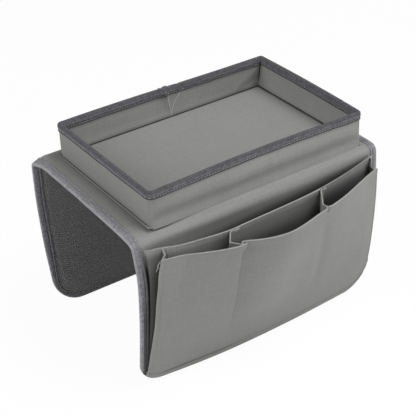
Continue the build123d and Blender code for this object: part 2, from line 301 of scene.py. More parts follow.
def stitchPiece(name, runs, finish, thread):
    # a row of separate stitches; each run is (start, end, up)
    points, faces = [], []
    for start, end, up in runs:
        along = (end - start).normalized()
        side = along.cross(up).normalized()
        up = side.cross(along).normalized()
        half = thread["width"] / 2
        base = len(points)
        points.append(start - up * thread["sunk"])
        for share in sewing["fullShares"]:
            middle = start.lerp(end, share)
            for turn in range(6):
                angle = pi * turn / 3 + pi / 6
                rise = sin(angle) * half * sewing["flatShare"] + thread["proud"]
                points.append(middle + side * cos(angle) * half + up * rise)
        points.append(end - up * thread["sunk"])
        first, second, tip = base + 1, base + 7, base + 13
        for turn in range(6):
            nextTurn = (turn + 1) % 6
            faces.append((base, first + nextTurn, first + turn))
            faces.append((first + turn, first + nextTurn, second + nextTurn, second + turn))
            faces.append((second + turn, second + nextTurn, tip))
    return makePiece(name, points, faces, finish, [(p[0] * mm, p[2] * mm) for p in points], 60)


def stitchRuns(placeAt, length, thread, start=1.0):
    # evenly pitched stitches along a line; placeAt(distance, lift) gives a point on the cloth
    runs = []
    for k in range(max(1, int((length - start) / thread["pitch"]))):
        a = start + k * thread["pitch"] + chance.uniform(-sewing["uneven"], sewing["uneven"])
        b = a + thread["length"]
        up = placeAt((a + b) / 2, 0.5) - placeAt((a + b) / 2, 0)
        runs.append((placeAt(a, 0), placeAt(b, 0), up))
    return runs


# Shader groups shared by the cloths

textures = {
    # repeats in a metre
    "clouds": 14,
    "slubs": 900,
    "streaksAlong": 25,
    "streaksAcross": 600,
}


def newGroup(name, inputs, outputs):
    # a socket named Color holds a colour, any other one a number
    group = bpy.data.node_groups.new(name, "ShaderNodeTree")

    def addSocket(label, way):
        kind = "NodeSocketColor" if label == "Color" else "NodeSocketFloat"
        return group.interface.new_socket(name=label, in_out=way, socket_type=kind)

    for label, value in inputs.items():
        addSocket(label, "INPUT").default_value = value
    for label in outputs:
        addSocket(label, "OUTPUT")
    given, result = group.nodes.new("NodeGroupInput"), group.nodes.new("NodeGroupOutput")
    return group, partial(addMath, group), given.outputs, result.inputs


def feed(tree, value, socket):
    # a socket takes another node's output or a plain value
    if hasattr(value, "is_output"):
        tree.links.new(value, socket)
    else:
        socket.default_value = value


def addMath(tree, operation, a, b=None):
    node = tree.nodes.new("ShaderNodeMath")
    node.operation = operation
    feed(tree, a, node.inputs[0])
    if b is not None:
        feed(tree, b, node.inputs[1])
    return node.outputs[0]


def addVectorMath(tree, operation, vector, socket, value):
    node = tree.nodes.new("ShaderNodeVectorMath")
    node.operation = operation
    feed(tree, vector, node.inputs[0])
    feed(tree, value, node.inputs[socket])
    return node.outputs[0]


def addNoise(tree, place, scale, detail, dimensions="3D"):
    node = tree.nodes.new("ShaderNodeTexNoise")
    node.noise_dimensions = dimensions
    feed(tree, scale, node.inputs["Scale"])
    feed(tree, detail, node.inputs["Detail"])
    feed(tree, place, node.inputs["Vector"])
    return node.outputs[0]


def threadMap(tree):
    # the place on a cloth or tape, in metres along its threads
    place = tree.nodes.new("ShaderNodeUVMap")
    place.uv_map = "threads"
    return place.outputs[0]


def splitUp(tree, vector):
    split = tree.nodes.new("ShaderNodeSeparateXYZ")
    tree.links.new(vector, split.inputs[0])
    return split.outputs


def humps(calc, turns):
    # one rounded hump in every turn
    return calc("ABSOLUTE", calc("SINE", calc("MULTIPLY", turns, pi)))


def makeWeaveGroup():
    # plain weave: threads over and under one another, with uneven thread thickness
    inputs = {"Thread Pitch": 0.0006, "Slub": 0.4}
    group, calc, given, result = newGroup("plainWeave", inputs, ["Height", "Gap"])
    place = threadMap(group)
    ways = splitUp(group, place)
    waves = []
    for axis in (0, 1):
        turns = calc("DIVIDE", ways[axis], given["Thread Pitch"])
        waves.append(calc("SINE", calc("MULTIPLY", turns, pi)))
    warp, weft = (calc("ABSOLUTE", wave) for wave in waves)
    weave = group.nodes.new("ShaderNodeMix")
    group.links.new(calc("GREATER_THAN", calc("MULTIPLY", *waves), 0.0), weave.inputs["Factor"])
    group.links.new(warp, weave.inputs[2])
    group.links.new(weft, weave.inputs[3])
    slub = addNoise(group, place, textures["slubs"], 2, "2D")
    height = calc("ADD", weave.outputs[0], calc("MULTIPLY", slub, given["Slub"]))
    group.links.new(height, result["Height"])
    group.links.new(calc("SUBTRACT", 1.0, calc("MULTIPLY", warp, weft)), result["Gap"])
    return group


def makeTwillGroup():
    # slanting ribs of a twill tape, in the tape's own length and width
    inputs = {"Rib Pitch": 0.0011, "Slant": 1.0}
    group, calc, given, result = newGroup("tapeTwill", inputs, ["Height", "Gap"])
    ways = splitUp(group, threadMap(group))
    slanted = calc("ADD", ways[0], calc("MULTIPLY", ways[1], given["Slant"]))
    rib = humps(calc, calc("DIVIDE", slanted, given["Rib Pitch"]))
    # finer threads lie across the ribs, two to a rib
    thread = humps(calc, calc("DIVIDE", ways[0], calc("MULTIPLY", given["Rib Pitch"], 0.5)))
    group.links.new(calc("ADD", rib, calc("MULTIPLY", thread, 0.25)), result["Height"])
    group.links.new(calc("SUBTRACT", 1.0, rib), result["Gap"])
    return group


def makeGripGroup():
    # knitted mesh: rows of raised loops with small holes between them
    inputs = {"Row Pitch": 0.0026, "Loop Pitch": 0.0019}
    group, calc, given, result = newGroup("gripMesh", inputs, ["Height", "Gap"])
    ways = splitUp(group, threadMap(group))
    row = calc("DIVIDE", ways[1], given["Row Pitch"])
    # every second row is half a loop aside
    odd = calc("MULTIPLY", calc("MODULO", calc("FLOOR", row), 2.0), 0.5)
    loop = calc("ADD", calc("DIVIDE", ways[0], given["Loop Pitch"]), odd)
    dots = calc("MULTIPLY", humps(calc, row), humps(calc, loop))
    group.links.new(dots, result["Height"])
    group.links.new(calc("SUBTRACT", 1.0, dots), result["Gap"])
    return group


def makeToneGroup():
    # slow unevenness of dyed cloth, a finer speckle of lighter fibres, and painted shade that darkens it
    # downwards
    inputs = {"Color": (0.3, 0.3, 0.3, 1), "Cloudiness": 0.08, "Speckle": 0.1, "Speckle Scale": 620.0,
              "Streaks": 0.0, "Gap": 0.0, "Gap Shade": 0.2,
              "Fade": 0.0, "Painted Shade Top": 0.0, "Painted Shade Depth": 0.02, "Painted Shade Slope": 0.0}
    group, calc, given, result = newGroup("dyedToneAndShade", inputs, ["Color"])
    place = group.nodes.new("ShaderNodeTexCoord").outputs["Object"]
    clouds = calc("SUBTRACT", addNoise(group, place, textures["clouds"], 3), 0.5)
    specks = calc("SUBTRACT", addNoise(group, place, given["Speckle Scale"], 2), 0.5)
    # uneven threads show as thin streaks along both directions of the cloth
    threads = threadMap(group)
    streaks = 0.0
    slow, quick = textures["streaksAlong"], textures["streaksAcross"]
    for stretch in ((slow, quick, 1), (quick, slow, 1)):
        lines = addNoise(group, addVectorMath(group, "MULTIPLY", threads, 1, stretch), 1, 2)
        streaks = calc("ADD", calc("SUBTRACT", lines, 0.5), streaks)
    tone = calc("MULTIPLY", clouds, given["Cloudiness"])
    tone = calc("ADD", tone, calc("MULTIPLY", specks, given["Speckle"]))
    tone = calc("ADD", tone, calc("MULTIPLY", streaks, given["Streaks"]))
    tone = calc("SUBTRACT", tone, calc("MULTIPLY", given["Gap"], given["Gap Shade"]))
    # painted shade: deep in a pocket the cloth is painted darker, below a line that may slope along x
    ways = splitUp(group, place)
    line = calc("ADD", given["Painted Shade Top"], calc("MULTIPLY", ways[0], given["Painted Shade Slope"]))
    deep = group.nodes.new("ShaderNodeMapRange")
    deep.interpolation_type = "SMOOTHSTEP"
    group.links.new(calc("SUBTRACT", line, ways[2]), deep.inputs["Value"])
    group.links.new(given["Painted Shade Depth"], deep.inputs["From Max"])
    dim = calc("SUBTRACT", 1.0, calc("MULTIPLY", deep.outputs[0], given["Fade"]))
    scale = calc("MULTIPLY", calc("ADD", tone, 1.0), dim)
    group.links.new(addVectorMath(group, "SCALE", given["Color"], "Scale", scale), result["Color"])
    return group


print("shader groups")
patterns = {"weave": makeWeaveGroup(), "twill": makeTwillGroup(), "grip": makeGripGroup()}
toneGroup = makeToneGroup()

# Finishes: what most cloths, tapes and threads share, then what each one changes; depth and pitch in metres
plainCloth = dict(rough=0.88, sheen=0.12, cloud=0.1, speck=0.3, speckScale=620, gapShade=0.16, streaks=0.16,
                  bump=0.35, depth=0.00012, pattern="weave", settings={"Thread Pitch": 0.00062})
mottledCloth = dict(plainCloth, sheen=0.1, speck=0.4, streaks=0.3)
plainTape = dict(rough=0.8, sheen=0.2, cloud=0.1, speck=1.3, speckScale=340, gapShade=0.3, streaks=0.2,
                 bump=0.5, depth=0.00022, pattern="twill", settings={"Rib Pitch": 0.0012})
plainThread = dict(rough=0.6, sheen=0.2, cloud=0.0, speck=0.1, speckScale=340, gapShade=0.2, streaks=0.0,
                   bump=0.3, depth=0.0001, pattern="twill", settings={"Rib Pitch": 0.0004})
coverGrey = (0.262, 0.262, 0.255)
tapeGrey = (0.215, 0.213, 0.23)
finishes = {
    # paintedShade: painted shade deep in the pocket, as how much darker, from how far under the back mouth,
    # over how many millimetres, slope along x
    "coverCloth": dict(plainCloth, color=coverGrey),
    "liningCloth": dict(plainCloth, color=(0.30, 0.30, 0.293)),
    # painted shade inside the pocket, darker below the back mouth
    "pocketShadeCloth": dict(mottledCloth, color=(0.29, 0.29, 0.282), paintedShade=(0.8, 12, 32, 0)),
    # painted shade behind the right bay
    "deepShadeCloth": dict(mottledCloth, color=(0.205, 0.205, 0.2), paintedShade=(0.88, 2, 26, 0)),
    # painted shade on the flap above and behind the pocket's back panel
    "flapShadeCloth": dict(plainCloth, color=coverGrey, paintedShade=(0.88, 3.6, 14, 0.055)),
    # weaker painted shade left of the left gusset
    "cornerShadeCloth": dict(plainCloth, color=coverGrey, paintedShade=(0.5, -4, 14, 0)),
    # painted highlight along the cut edges
    "edgeHighlightCloth": dict(plainCloth, color=(0.34, 0.34, 0.33), rough=0.85, sheen=0.2, cloud=0.05, speck=0.5,
                      gapShade=0.1, streaks=0.0, bump=0.3),
    "bindingTape": dict(plainTape, color=tapeGrey),
    "shadedTape": dict(plainTape, color=tapeGrey, paintedShade=(0.75, 35, 65, 0)),
    "tapeFold": dict(plainTape, color=(0.30, 0.30, 0.31), rough=0.85, sheen=0.3, speck=1.2, gapShade=0.2),
    "rimTape": dict(plainTape, color=(0.125, 0.123, 0.138), speck=1.7, streaks=0.3),
    "rimFold": dict(plainTape, color=(0.08, 0.079, 0.088), rough=0.85, sheen=0.1, speck=1.5, gapShade=0.2),
    "seamShade": dict(plainCloth, color=(0.05, 0.05, 0.052), rough=0.9, sheen=0.0, speck=0.8, gapShade=0.1,
                      streaks=0.0, bump=0.2, depth=0.0001, settings={}),
    "gripMesh": dict(plainCloth, color=(0.29, 0.29, 0.286), rough=0.75, sheen=0.1, cloud=0.12, speck=0.6,
                     gapShade=0.55, streaks=0.2, bump=0.7, depth=0.0005, pattern="grip", settings={}),
    "stiffenerBoard": dict(plainCloth, color=(0.42, 0.33, 0.24), rough=0.9, sheen=0.0, cloud=0.15, speck=0.35,
                           gapShade=0.0, streaks=0.0, bump=0.1, depth=0.0001,
                           settings={"Thread Pitch": 0.0009}),
    "sewingThread": dict(plainThread, color=(0.38, 0.38, 0.39), speck=0.3),
    "seamThread": dict(plainThread, color=(0.30, 0.30, 0.295), sheen=0.1),
    "looseThread": dict(plainThread, color=(0.55, 0.55, 0.54)),
}
shine = {"Specular IOR Level": 0.25, "Sheen Roughness": 0.5}


def setInputs(node, values):
    for label, value in values.items():
        node.inputs[label].default_value = value


def makeFinish(name):
    finish = finishes[name]
    material = bpy.data.materials.new(name)
    material.use_nodes = True
    tree = material.node_tree
    shader = tree.nodes["Principled BSDF"]
    pattern = tree.nodes.new("ShaderNodeGroup")
    pattern.node_tree = patterns[finish["pattern"]]
    tone = tree.nodes.new("ShaderNodeGroup")
    tone.node_tree = toneGroup
    bump = tree.nodes.new("ShaderNodeBump")
    setInputs(pattern, finish["settings"])
    setInputs(tone, {
        "Color": (*finish["color"], 1),
        "Cloudiness": finish["cloud"],
        "Speckle": finish["speck"],
        "Speckle Scale": finish["speckScale"],
        "Streaks": finish["streaks"],
        "Gap Shade": finish["gapShade"],
    })
    if "paintedShade" in finish:
        share, under, reach, slope = finish["paintedShade"]
        setInputs(tone, {
            "Fade": share,
            "Painted Shade Top": (backMouthZ - under) * mm,
            "Painted Shade Depth": reach * mm,
            "Painted Shade Slope": slope,
        })
    setInputs(bump, {"Strength": finish["bump"], "Distance": finish["depth"]})
    setInputs(shader, {"Roughness": finish["rough"], "Sheen Weight": finish["sheen"], **shine})
    tree.links.new(pattern.outputs["Gap"], tone.inputs["Gap"])
    tree.links.new(pattern.outputs["Height"], bump.inputs["Height"])
    tree.links.new(tone.outputs["Color"], shader.inputs["Base Color"])
    tree.links.new(bump.outputs[0], shader.inputs["Normal"])
    return material


made = {name: makeFinish(name) for name in finishes}


def fit(piece, body, *nodes):
    # the piece rides on a body and stands for these nodes
    if body:
        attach(piece, body)
    if nodes:
        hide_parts(*nodes)
    return piece


# Saddle: one cloth sandwich from the front foot over the top to the rear foot

saddle = {
    # outer face from the middle of the top to the foot: (out from the middle, height over the flat top)
    "frontMiddle": [(0, 0), (60, 0), (97, -0.3), (104, -1.3), (110.4, -4.6), (114.2, -10.4), (115.4, -17),
                    (115, -30), (116.4, -56), (116.6, -86), (114, -128), (109.6, -166), (102.8, -202)],
    "frontLeft": [(0, -0.4), (60, -2.0), (97, -4.2), (106.4, -6.2), (110.8, -9.8), (112.6, -15), (115.6, -28),
                  (118.2, -48), (117, -80), (112.8, -126), (107.6, -166), (101, -202)],
    "frontRight": [(0, -0.2), (60, -0.3), (97, -0.5), (106, -1.2), (111.2, -5), (112.8, -13), (113.8, -31),
                   (115.4, -56), (115.8, -86), (114, -128), (109.5, -166), (103, -202)],
    "rearMiddle": [(0, 0), (60, 0), (97, -0.3), (105.5, -1.6), (110.6, -5.6), (112.6, -12), (113, -30),
                   (112.6, -56), (110.8, -86), (105.4, -128), (97.6, -166), (88, -202)],
    "rearLeft": [(0, -0.2), (60, 0), (92, 0.2), (105, -1.4), (111, -6), (112.8, -13.5), (113.2, -30),
                 (113.6, -52), (111.4, -84), (106, -126), (97, -166), (88, -202)],
    "rearRight": [(0, -0.4), (60, -0.6), (97, -1.2), (105.5, -2.2), (110.4, -6), (112.2, -13), (112.6, -31),
                  (112, -56), (110, -86), (104.8, -128), (97.2, -166), (88, -202)],
    # how far in from the sides the left and right profile still count
    "edgeReach": 125,
    # each flap bows and narrows below this share of the cloth's length
    "flapShare": 0.45,
    "footBow": {front: 4.0, rear: 0.0},
    # at the left and the right end: how much higher the foot is, how much narrower, and its corner's radius
    "footRise": {front: (8.0, 4.6), rear: (1.2, 1.2)},
    "footNarrow": {front: (0.008, 0.018), rear: (0.0, 0.0)},
    "cornerRadius": {front: (29, 37), rear: (34, 34)},
    # the plies are pressed to this share of their thickness at the edge, over a width
    "edgePress": 0.55,
    "edgePressWidth": 9,
    # the rear corner droops at the left edge
    "droop": 5.0,
    "droopWidth": 15,
    "droopRun": 103,
    "droopLength": 15,
    # soft unevenness, in millimetres and turns per millimetre; it grows from the top's middle
    "wave": 0.45,
    "waveRate": 0.016,
    "waveFrom": 60,
    # the front flap is drawn in behind the pocket's hem
    "hemDip": 1.8,
    "hemDipBelow": 23,
    "hemDipHeight": 9,
    # its drawing in and its fullness fade over a width before both side edges
    "endsFrom": 10,
    "endsWidth": 18,
    # the front shoulder is fuller left of its middle
    "full": 2.4,
    "fullBelow": 6,
    "fullHeight": 7,
    "fullX": -70,
    "fullWidth": 65,
    # all plies together
    "plyStack": 4.0,
    "samples": 640,
}
sideNames = {front: "front", rear: "rear"}
profiles = {
    side: [
        evenLine(smoothLine([(*p, 0) for p in saddle[sideNames[side] + part]]), saddle["samples"])
        for part in ("Left", "Middle", "Right")
    ]
    for side in (front, rear)
}
pathLength = {side: lengthsAlong(profiles[side][1])[-1] for side in (front, rear)}


def edgeWeights(x):
    # how much the left, the middle and the right profile count at x
    reach = saddle["edgeReach"]
    left = smooth((-x - (edgeX - reach)) / reach)
    right = smooth((x - (edgeX - reach)) / reach)
    return left, 1 - left - right, right


def outerFace(side, x, run, drawnIn=True):
    # a point of the cover's outer face, run along the cloth from the middle of the top
    share = run / pathLength[side]
    point = Vector((0, 0, 0))
    for weight, samples in zip(edgeWeights(x), profiles[side]):
        if weight:
            point += curveAt(samples, share) * weight
    if share > 1:
        point += (profiles[side][1][-1] - profiles[side][1][-2]).normalized() * (share - 1) * pathLength[side]
    low = clamp((share - saddle["flapShare"]) / (1 - saddle["flapShare"]))
    bow = saddle["footBow"][side] * (1 - (x / edgeX) ** 2) * low**1.6
    rate = saddle["waveRate"]
    uneven = noise.noise(Vector((x * rate, run * rate, side * 3.0)))
    wave = saddle["wave"] * uneven * clamp(run / saddle["waveFrom"])
    if side == front and drawnIn:
        inside = smooth((edgeX - saddle["endsFrom"] - abs(x)) / saddle["endsWidth"])
        point.x -= saddle["hemDip"] * bell(point.y + saddle["hemDipBelow"], saddle["hemDipHeight"]) * inside
        near = bell(x - saddle["fullX"], saddle["fullWidth"]) * inside
        point.x += saddle["full"] * near * bell(point.y + saddle["fullBelow"], saddle["fullHeight"])
    if side == rear and x < 0:
        edge = smooth((saddle["droopWidth"] - edgeX - x) / saddle["droopWidth"])
        point.y -= saddle["droop"] * edge * bell(run - saddle["droopRun"], saddle["droopLength"])
    narrow = 1 - saddle["footNarrow"][side][0 if x < 0 else 1] * low**0.5
    return Vector((x * narrow, middleY + side * (point.x + bow + wave), topZ + point.y))


def footRun(side, x):
    # where the cloth ends below x, before its corners are rounded
    return pathLength[side] - saddle["footRise"][side][0 if x < 0 else 1] * (x / edgeX) ** 2


def footRadius(side, x):
    return saddle["cornerRadius"][side][0 if x < 0 else 1]


def edgeDistance(side, x, run):
    radius = footRadius(side, x)
    fromSide = edgeX - abs(x)
    fromFoot = footRun(side, x) - run
    if fromSide < radius and fromFoot < radius:
        return radius - hypot(radius - fromSide, radius - fromFoot)
    return min(fromSide, fromFoot)


def saddleAt(side, x, run, depth=0.0):
    # depth goes in from the outer face; the edge is pressed thin by its sewing
    point = outerFace(side, x, run)
    if depth == 0.0:
        return point
    across = outerFace(side, x + 0.6, run) - outerFace(side, x - 0.6, run)
    along = outerFace(side, x, run + 0.8) - outerFace(side, x, run - 0.8 if run > 0.8 else 0)
    normal = across.cross(along).normalized()
    if normal.dot(Vector((0, side, 0.6))) < 0:
        normal = -normal
    pressed = mix(saddle["edgePress"], 1.0, smooth(edgeDistance(side, x, run) / saddle["edgePressWidth"]))
    middle = saddle["plyStack"] / 2
    return point - normal * (middle + (depth - middle) * pressed)


def bottomRun(side, x, inset):
    # where a ply with that inset ends below x, round corners included
    radius = footRadius(side, x)
    straight = edgeX - radius
    run = footRun(side, x)
    if abs(x) <= straight:
        return run - inset
    inner = max(radius - inset, 0.5)
    over = min(abs(x) - straight, inner)
    return run - radius + (inner * inner - over * over) ** 0.5


def spread(low, high, step, ends=0.0, endStep=1.0):
    # places from low to high, closer together within ends of either end
    places = [low]
    while places[-1] < high - 1e-6:
        here = places[-1]
        near = min(here - low, high - here) < ends
        places.append(min(high, here + (endStep if near else step)))
    return places


clothRows = {
    # rows: wide apart on the top and the flap, close together where the shoulder bends
    "flap": 212,
    "bend": 27,
    "topStep": 7.0,
    "bendStep": 1.5,
    "flapStep": 6.0,
    # columns: closer together at both side edges
    "across": 6.0,
    "ends": 30,
    "endStep": 2.4,
}


def columnPlaces(inset):
    half = edgeX - inset
    return spread(-half, half, clothRows["across"], ends=clothRows["ends"], endStep=clothRows["endStep"])


shoulderRun = {side: pathLength[side] - clothRows["flap"] for side in (front, rear)}
bendCount = int(clothRows["bend"] / clothRows["bendStep"])
runPlaces = {
    side: spread(0, start, clothRows["topStep"])
    + [start + step * clothRows["bendStep"] for step in range(1, bendCount + 1)]
    + [start + clothRows["bend"] + step * clothRows["flapStep"] for step in range(1, 40)]
    for side, start in shoulderRun.items()
}


def plyGrid(side, inset, depth, start=0.0):
    # one face of a ply from a place on the cloth down to the foot; depth is a number or a function
    end = pathLength[side]
    runs = [run for run in runPlaces[side] if start < run < end]
    grid = []
    for share in [(run - start) / (end - start) for run in [start] + runs + [end]]:
        row = []
        for x in columnPlaces(inset):
            run = mix(start, bottomRun(side, x, inset), share)
            reach = depth(side, x, run) if callable(depth) else depth
            row.append(saddleAt(side, x, run, reach))
        grid.append(row)
    return grid


def bendAtShoulder(piece, side, *nodes):
    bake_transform(piece)
    return fit(piece, None, *nodes)


cloths = {
    # depths from the cover's outer face, and insets from the saddle's edge
    "coverInset": 1.6,
    "cover": 0.9,
    "linerStart": 3.1,
    "linerEnd": 4.0,
    # the mesh is this much thicker in its field, which starts this far in from the edge
    "gripField": 1.1,
    "gripEdge": 11.4,
    "gripFade": 1.8,
    "boardStart": 1.0,
    "boardEnd": 3.0,
    "boardInset": 1.8,
    # the top's board ends this far from the middle, and a flap's starts this far below the shoulder
    "boardStop": 100,
    "flapBoardDrop": 22,
}


def linerDepth(side, x, run):
    field = smooth((edgeDistance(side, x, run) - cloths["gripEdge"]) / cloths["gripFade"])
    return cloths["linerEnd"] + cloths["gripField"] * field


print("saddle cloths")
for side in (front, rear):
    name = sideNames[side]
    inset = cloths["coverInset"]
    # the front cover gets painted shade above and behind the pocket
    coverPiece = clothPiece(
        f"{name}_cover_cloth", plyGrid(side, inset, 0.0), plyGrid(side, inset, cloths["cover"]),
        "flapShadeCloth" if side == front else "coverCloth",
    )
    nodes = [f"{name}_shoulder_cover", f"{name}_flap_cover"] + (["top_cover"] if side == front else [])
    bendAtShoulder(coverPiece, side, *nodes)
    linerPiece = clothPiece(
        f"{name}_grip_liner", plyGrid(side, inset, cloths["linerStart"]), plyGrid(side, inset, linerDepth),
        "gripMesh",
    )
    nodes = [f"{name}_shoulder_liner", f"{name}_flap_liner"] + (["top_liner"] if side == front else [])
    bendAtShoulder(linerPiece, side, *nodes)
    # a board in each flap
    low = shoulderRun[side] + cloths["flapBoardDrop"]
    near, far = (plyGrid(side, cloths["boardInset"], cloths[key], low) for key in ("boardStart", "boardEnd"))
    flapBoard = clothPiece(f"{name}_board", near, far, "stiffenerBoard")
    fit(flapBoard, f"{name}_flap", f"{name}_flap_board")


def topGrid(depth):
    columns = columnPlaces(cloths["boardInset"])
    stop = cloths["boardStop"]
    ys = [-stop + 8 * k for k in range(int(2 * stop / 8) + 1)]
    return [[saddleAt(front if y < 0 else rear, x, abs(y), depth) for x in columns] for y in ys]


topBoard = clothPiece(
    "top_stiffener", topGrid(cloths["boardStart"]), topGrid(cloths["boardEnd"]), "stiffenerBoard"
)
fit(topBoard, "saddle_top", "top_board")


# Binding tape, folded over the saddle's whole edge

binding = {
    "arm": 9.8,
    # one face of the folded tape as (in from the edge, stand off the cloth): lip, stitch groove, belly, fold
    "face": [(9.8, 0.5), (9.5, 0.85), (8.6, 1.0), (7.7, 0.8), (7.2, 0.15), (6.7, 0.2), (6.3, 1.0), (5.0, 1.5),
             (3.2, 1.6), (1.4, 1.2), (0.1, 0.45)],
    "thick": 0.8,
    "out": 0.6,
    "stack": 4.0,
    "wobble": 0.3,
    "wobbleRate": 0.13,
    "seam": 6.9,
    "foldShows": 1.5,
    "shadeIn": 3.6,
    "shadeDrop": 30,
    # the inner face narrows towards the rear foot, from so far above it and over a length
    "rearInnerShare": 0.62,
    "rearNarrowFrom": 90,
    "rearNarrowOver": 70,
    "thread": dict(pitch=3.3, length=2.3, width=0.6, proud=0.1, sunk=0.2),
}


def foldedTape(face, thick, stack):
    # closed section of a tape folded over an edge: (in from the edge, depth from the cloth's outer face)
    outer = [(w, -stand) for w, stand in face]
    edge = [(0, stack * 0.25), (0, stack * 0.75)]
    inner = [(w, stack + stand) for w, stand in reversed(face)]
    back = [(face[0][0], stack + 0.05), (2.0, stack + 0.05), (thick + 0.3, stack * 0.7)]
    return outer + edge + inner + back + [(thick + 0.3, stack * 0.3), (2.0, -0.05), (face[0][0], -0.05)]


def placesIn(ins, chosen):
    # the places along a tape's section whose middle lies as far in as chosen says
    return {j for j, (a, b) in enumerate(zip(ins, ins[1:] + ins[:1])) if chosen((a + b) / 2)}


def edgeAndCorner(side, end):
    # one end's edge, from the middle of the top down and round the foot's corner
    radius = footRadius(side, end)
    last = footRun(side, edgeX) - radius
    points = [Vector((end * edgeX, run)) for run in spread(0, last, 3.0)]
    for step in range(1, 13):
        angle = pi / 2 * step / 12
        x = edgeX - radius + radius * cos(angle)
        points.append(Vector((end * x, footRun(side, x) - radius + radius * sin(angle))))
    return points


def outlineTrail(side):
    # the saddle's edge from the left end of the top's middle, round the foot, to its right end
    left, right = edgeAndCorner(side, -1), edgeAndCorner(side, 1)
    foot = [Vector((x, footRun(side, x))) for x in spread(left[-1].x, right[-1].x, 5.0)[1:-1]]
    points = left + foot + right[::-1]
    trail = []
    for k, p in enumerate(points):
        ahead, behind = points[min(k + 1, len(points) - 1)], points[max(k - 1, 0)]
        along = (ahead - behind).normalized()
        trail.append((p, Vector((along.y, -along.x))))
    # the inward side is the one that points to the middle of the cloth
    centre = Vector((0, pathLength[side] / 2))
    if trail[5][1].dot(centre - trail[5][0]) < 0:
        trail = [(p, -n) for p, n in trail]
    return trail


def innerShare(side, p, depth):
    # how wide the tape is at this place of the outline and this depth, as a share of its width
    if side == front or depth < binding["stack"] / 2:
        return 1.0
    low = smooth((p.y - pathLength[rear] + binding["rearNarrowFrom"]) / binding["rearNarrowOver"])
    return mix(1.0, binding["rearInnerShare"], low)


def bindingRings(side, section):
    # the tape's inner lip wobbles a little along the edge
    rings = []
    for k, (p, inward) in enumerate(outlineTrail(side)):
        lean = binding["wobble"] * noise.noise(Vector((k * binding["wobbleRate"], side * 5.0, 0.5)))
        lean *= clamp(k / 6)
        ring = []
        for w, depth in section:
            shift = w * innerShare(side, p, depth) + (lean if w > 6 else 0) - binding["out"]
            q = p + inward * shift
            ring.append(saddleAt(side, q.x, max(q.y, 0), depth))
        rings.append(ring)
    return rings


def edgeStitches(side, depth):
    # a row of stitches near the inner edge of the tape, on its outer or inner arm
    trail = outlineTrail(side)
    line = [p + inward * binding["seam"] * innerShare(side, p, depth) for p, inward in trail]
    total = lengthsAlong([Vector((*p, 0)) for p in line])

    def placeAt(distance, lift):
        k, part = stretchAt(total, distance)
        p = line[k].lerp(line[k + 1], part)
        out = lift if depth < 0 else -lift
        return saddleAt(side, p.x, max(p.y, 0.01), depth - out)

    return stitchRuns(placeAt, total[-1] - 3, binding["thread"])


def besidePocket(face):
    place = face.center / mm
    inwards = place.x + edgeX
    return binding["shadeIn"] < inwards < binding["arm"] + 1 and place.z < backMouthZ - binding["shadeDrop"]


print("binding")
for side in (front, rear):
    name = sideNames[side]
    section = foldedTape(binding["face"], binding["thick"], binding["stack"])
    foldPlaces = placesIn([w for w, depth in section], lambda middle: middle < binding["foldShows"])
    edgeTape = sweptPiece(
        f"{name}_edge_tape", bindingRings(side, section), "bindingTape", sharp=60,
        bands={"tapeFold": foldPlaces},
    )
    if side == front:
        # the pocket's edge shades the inner half of the tape at its left
        paintFaces(edgeTape, "shadedTape", besidePocket)
    nodes = [f"{name}_shoulder_binding_left", f"{name}_shoulder_binding_right", f"{name}_flap_binding"]
    nodes += ["top_binding_left", "top_binding_right"] if side == front else []
    bendAtShoulder(edgeTape, side, *nodes)
    for where, depth in (("outer", -0.5), ("inner", binding["stack"] + 0.5)):
        runs = edgeStitches(side, depth)
        bendAtShoulder(
            stitchPiece(f"{name}_edge_stitches_{where}", runs, "seamThread", binding["thread"]), side
        )


# Tray: a rounded box of cloth over boards

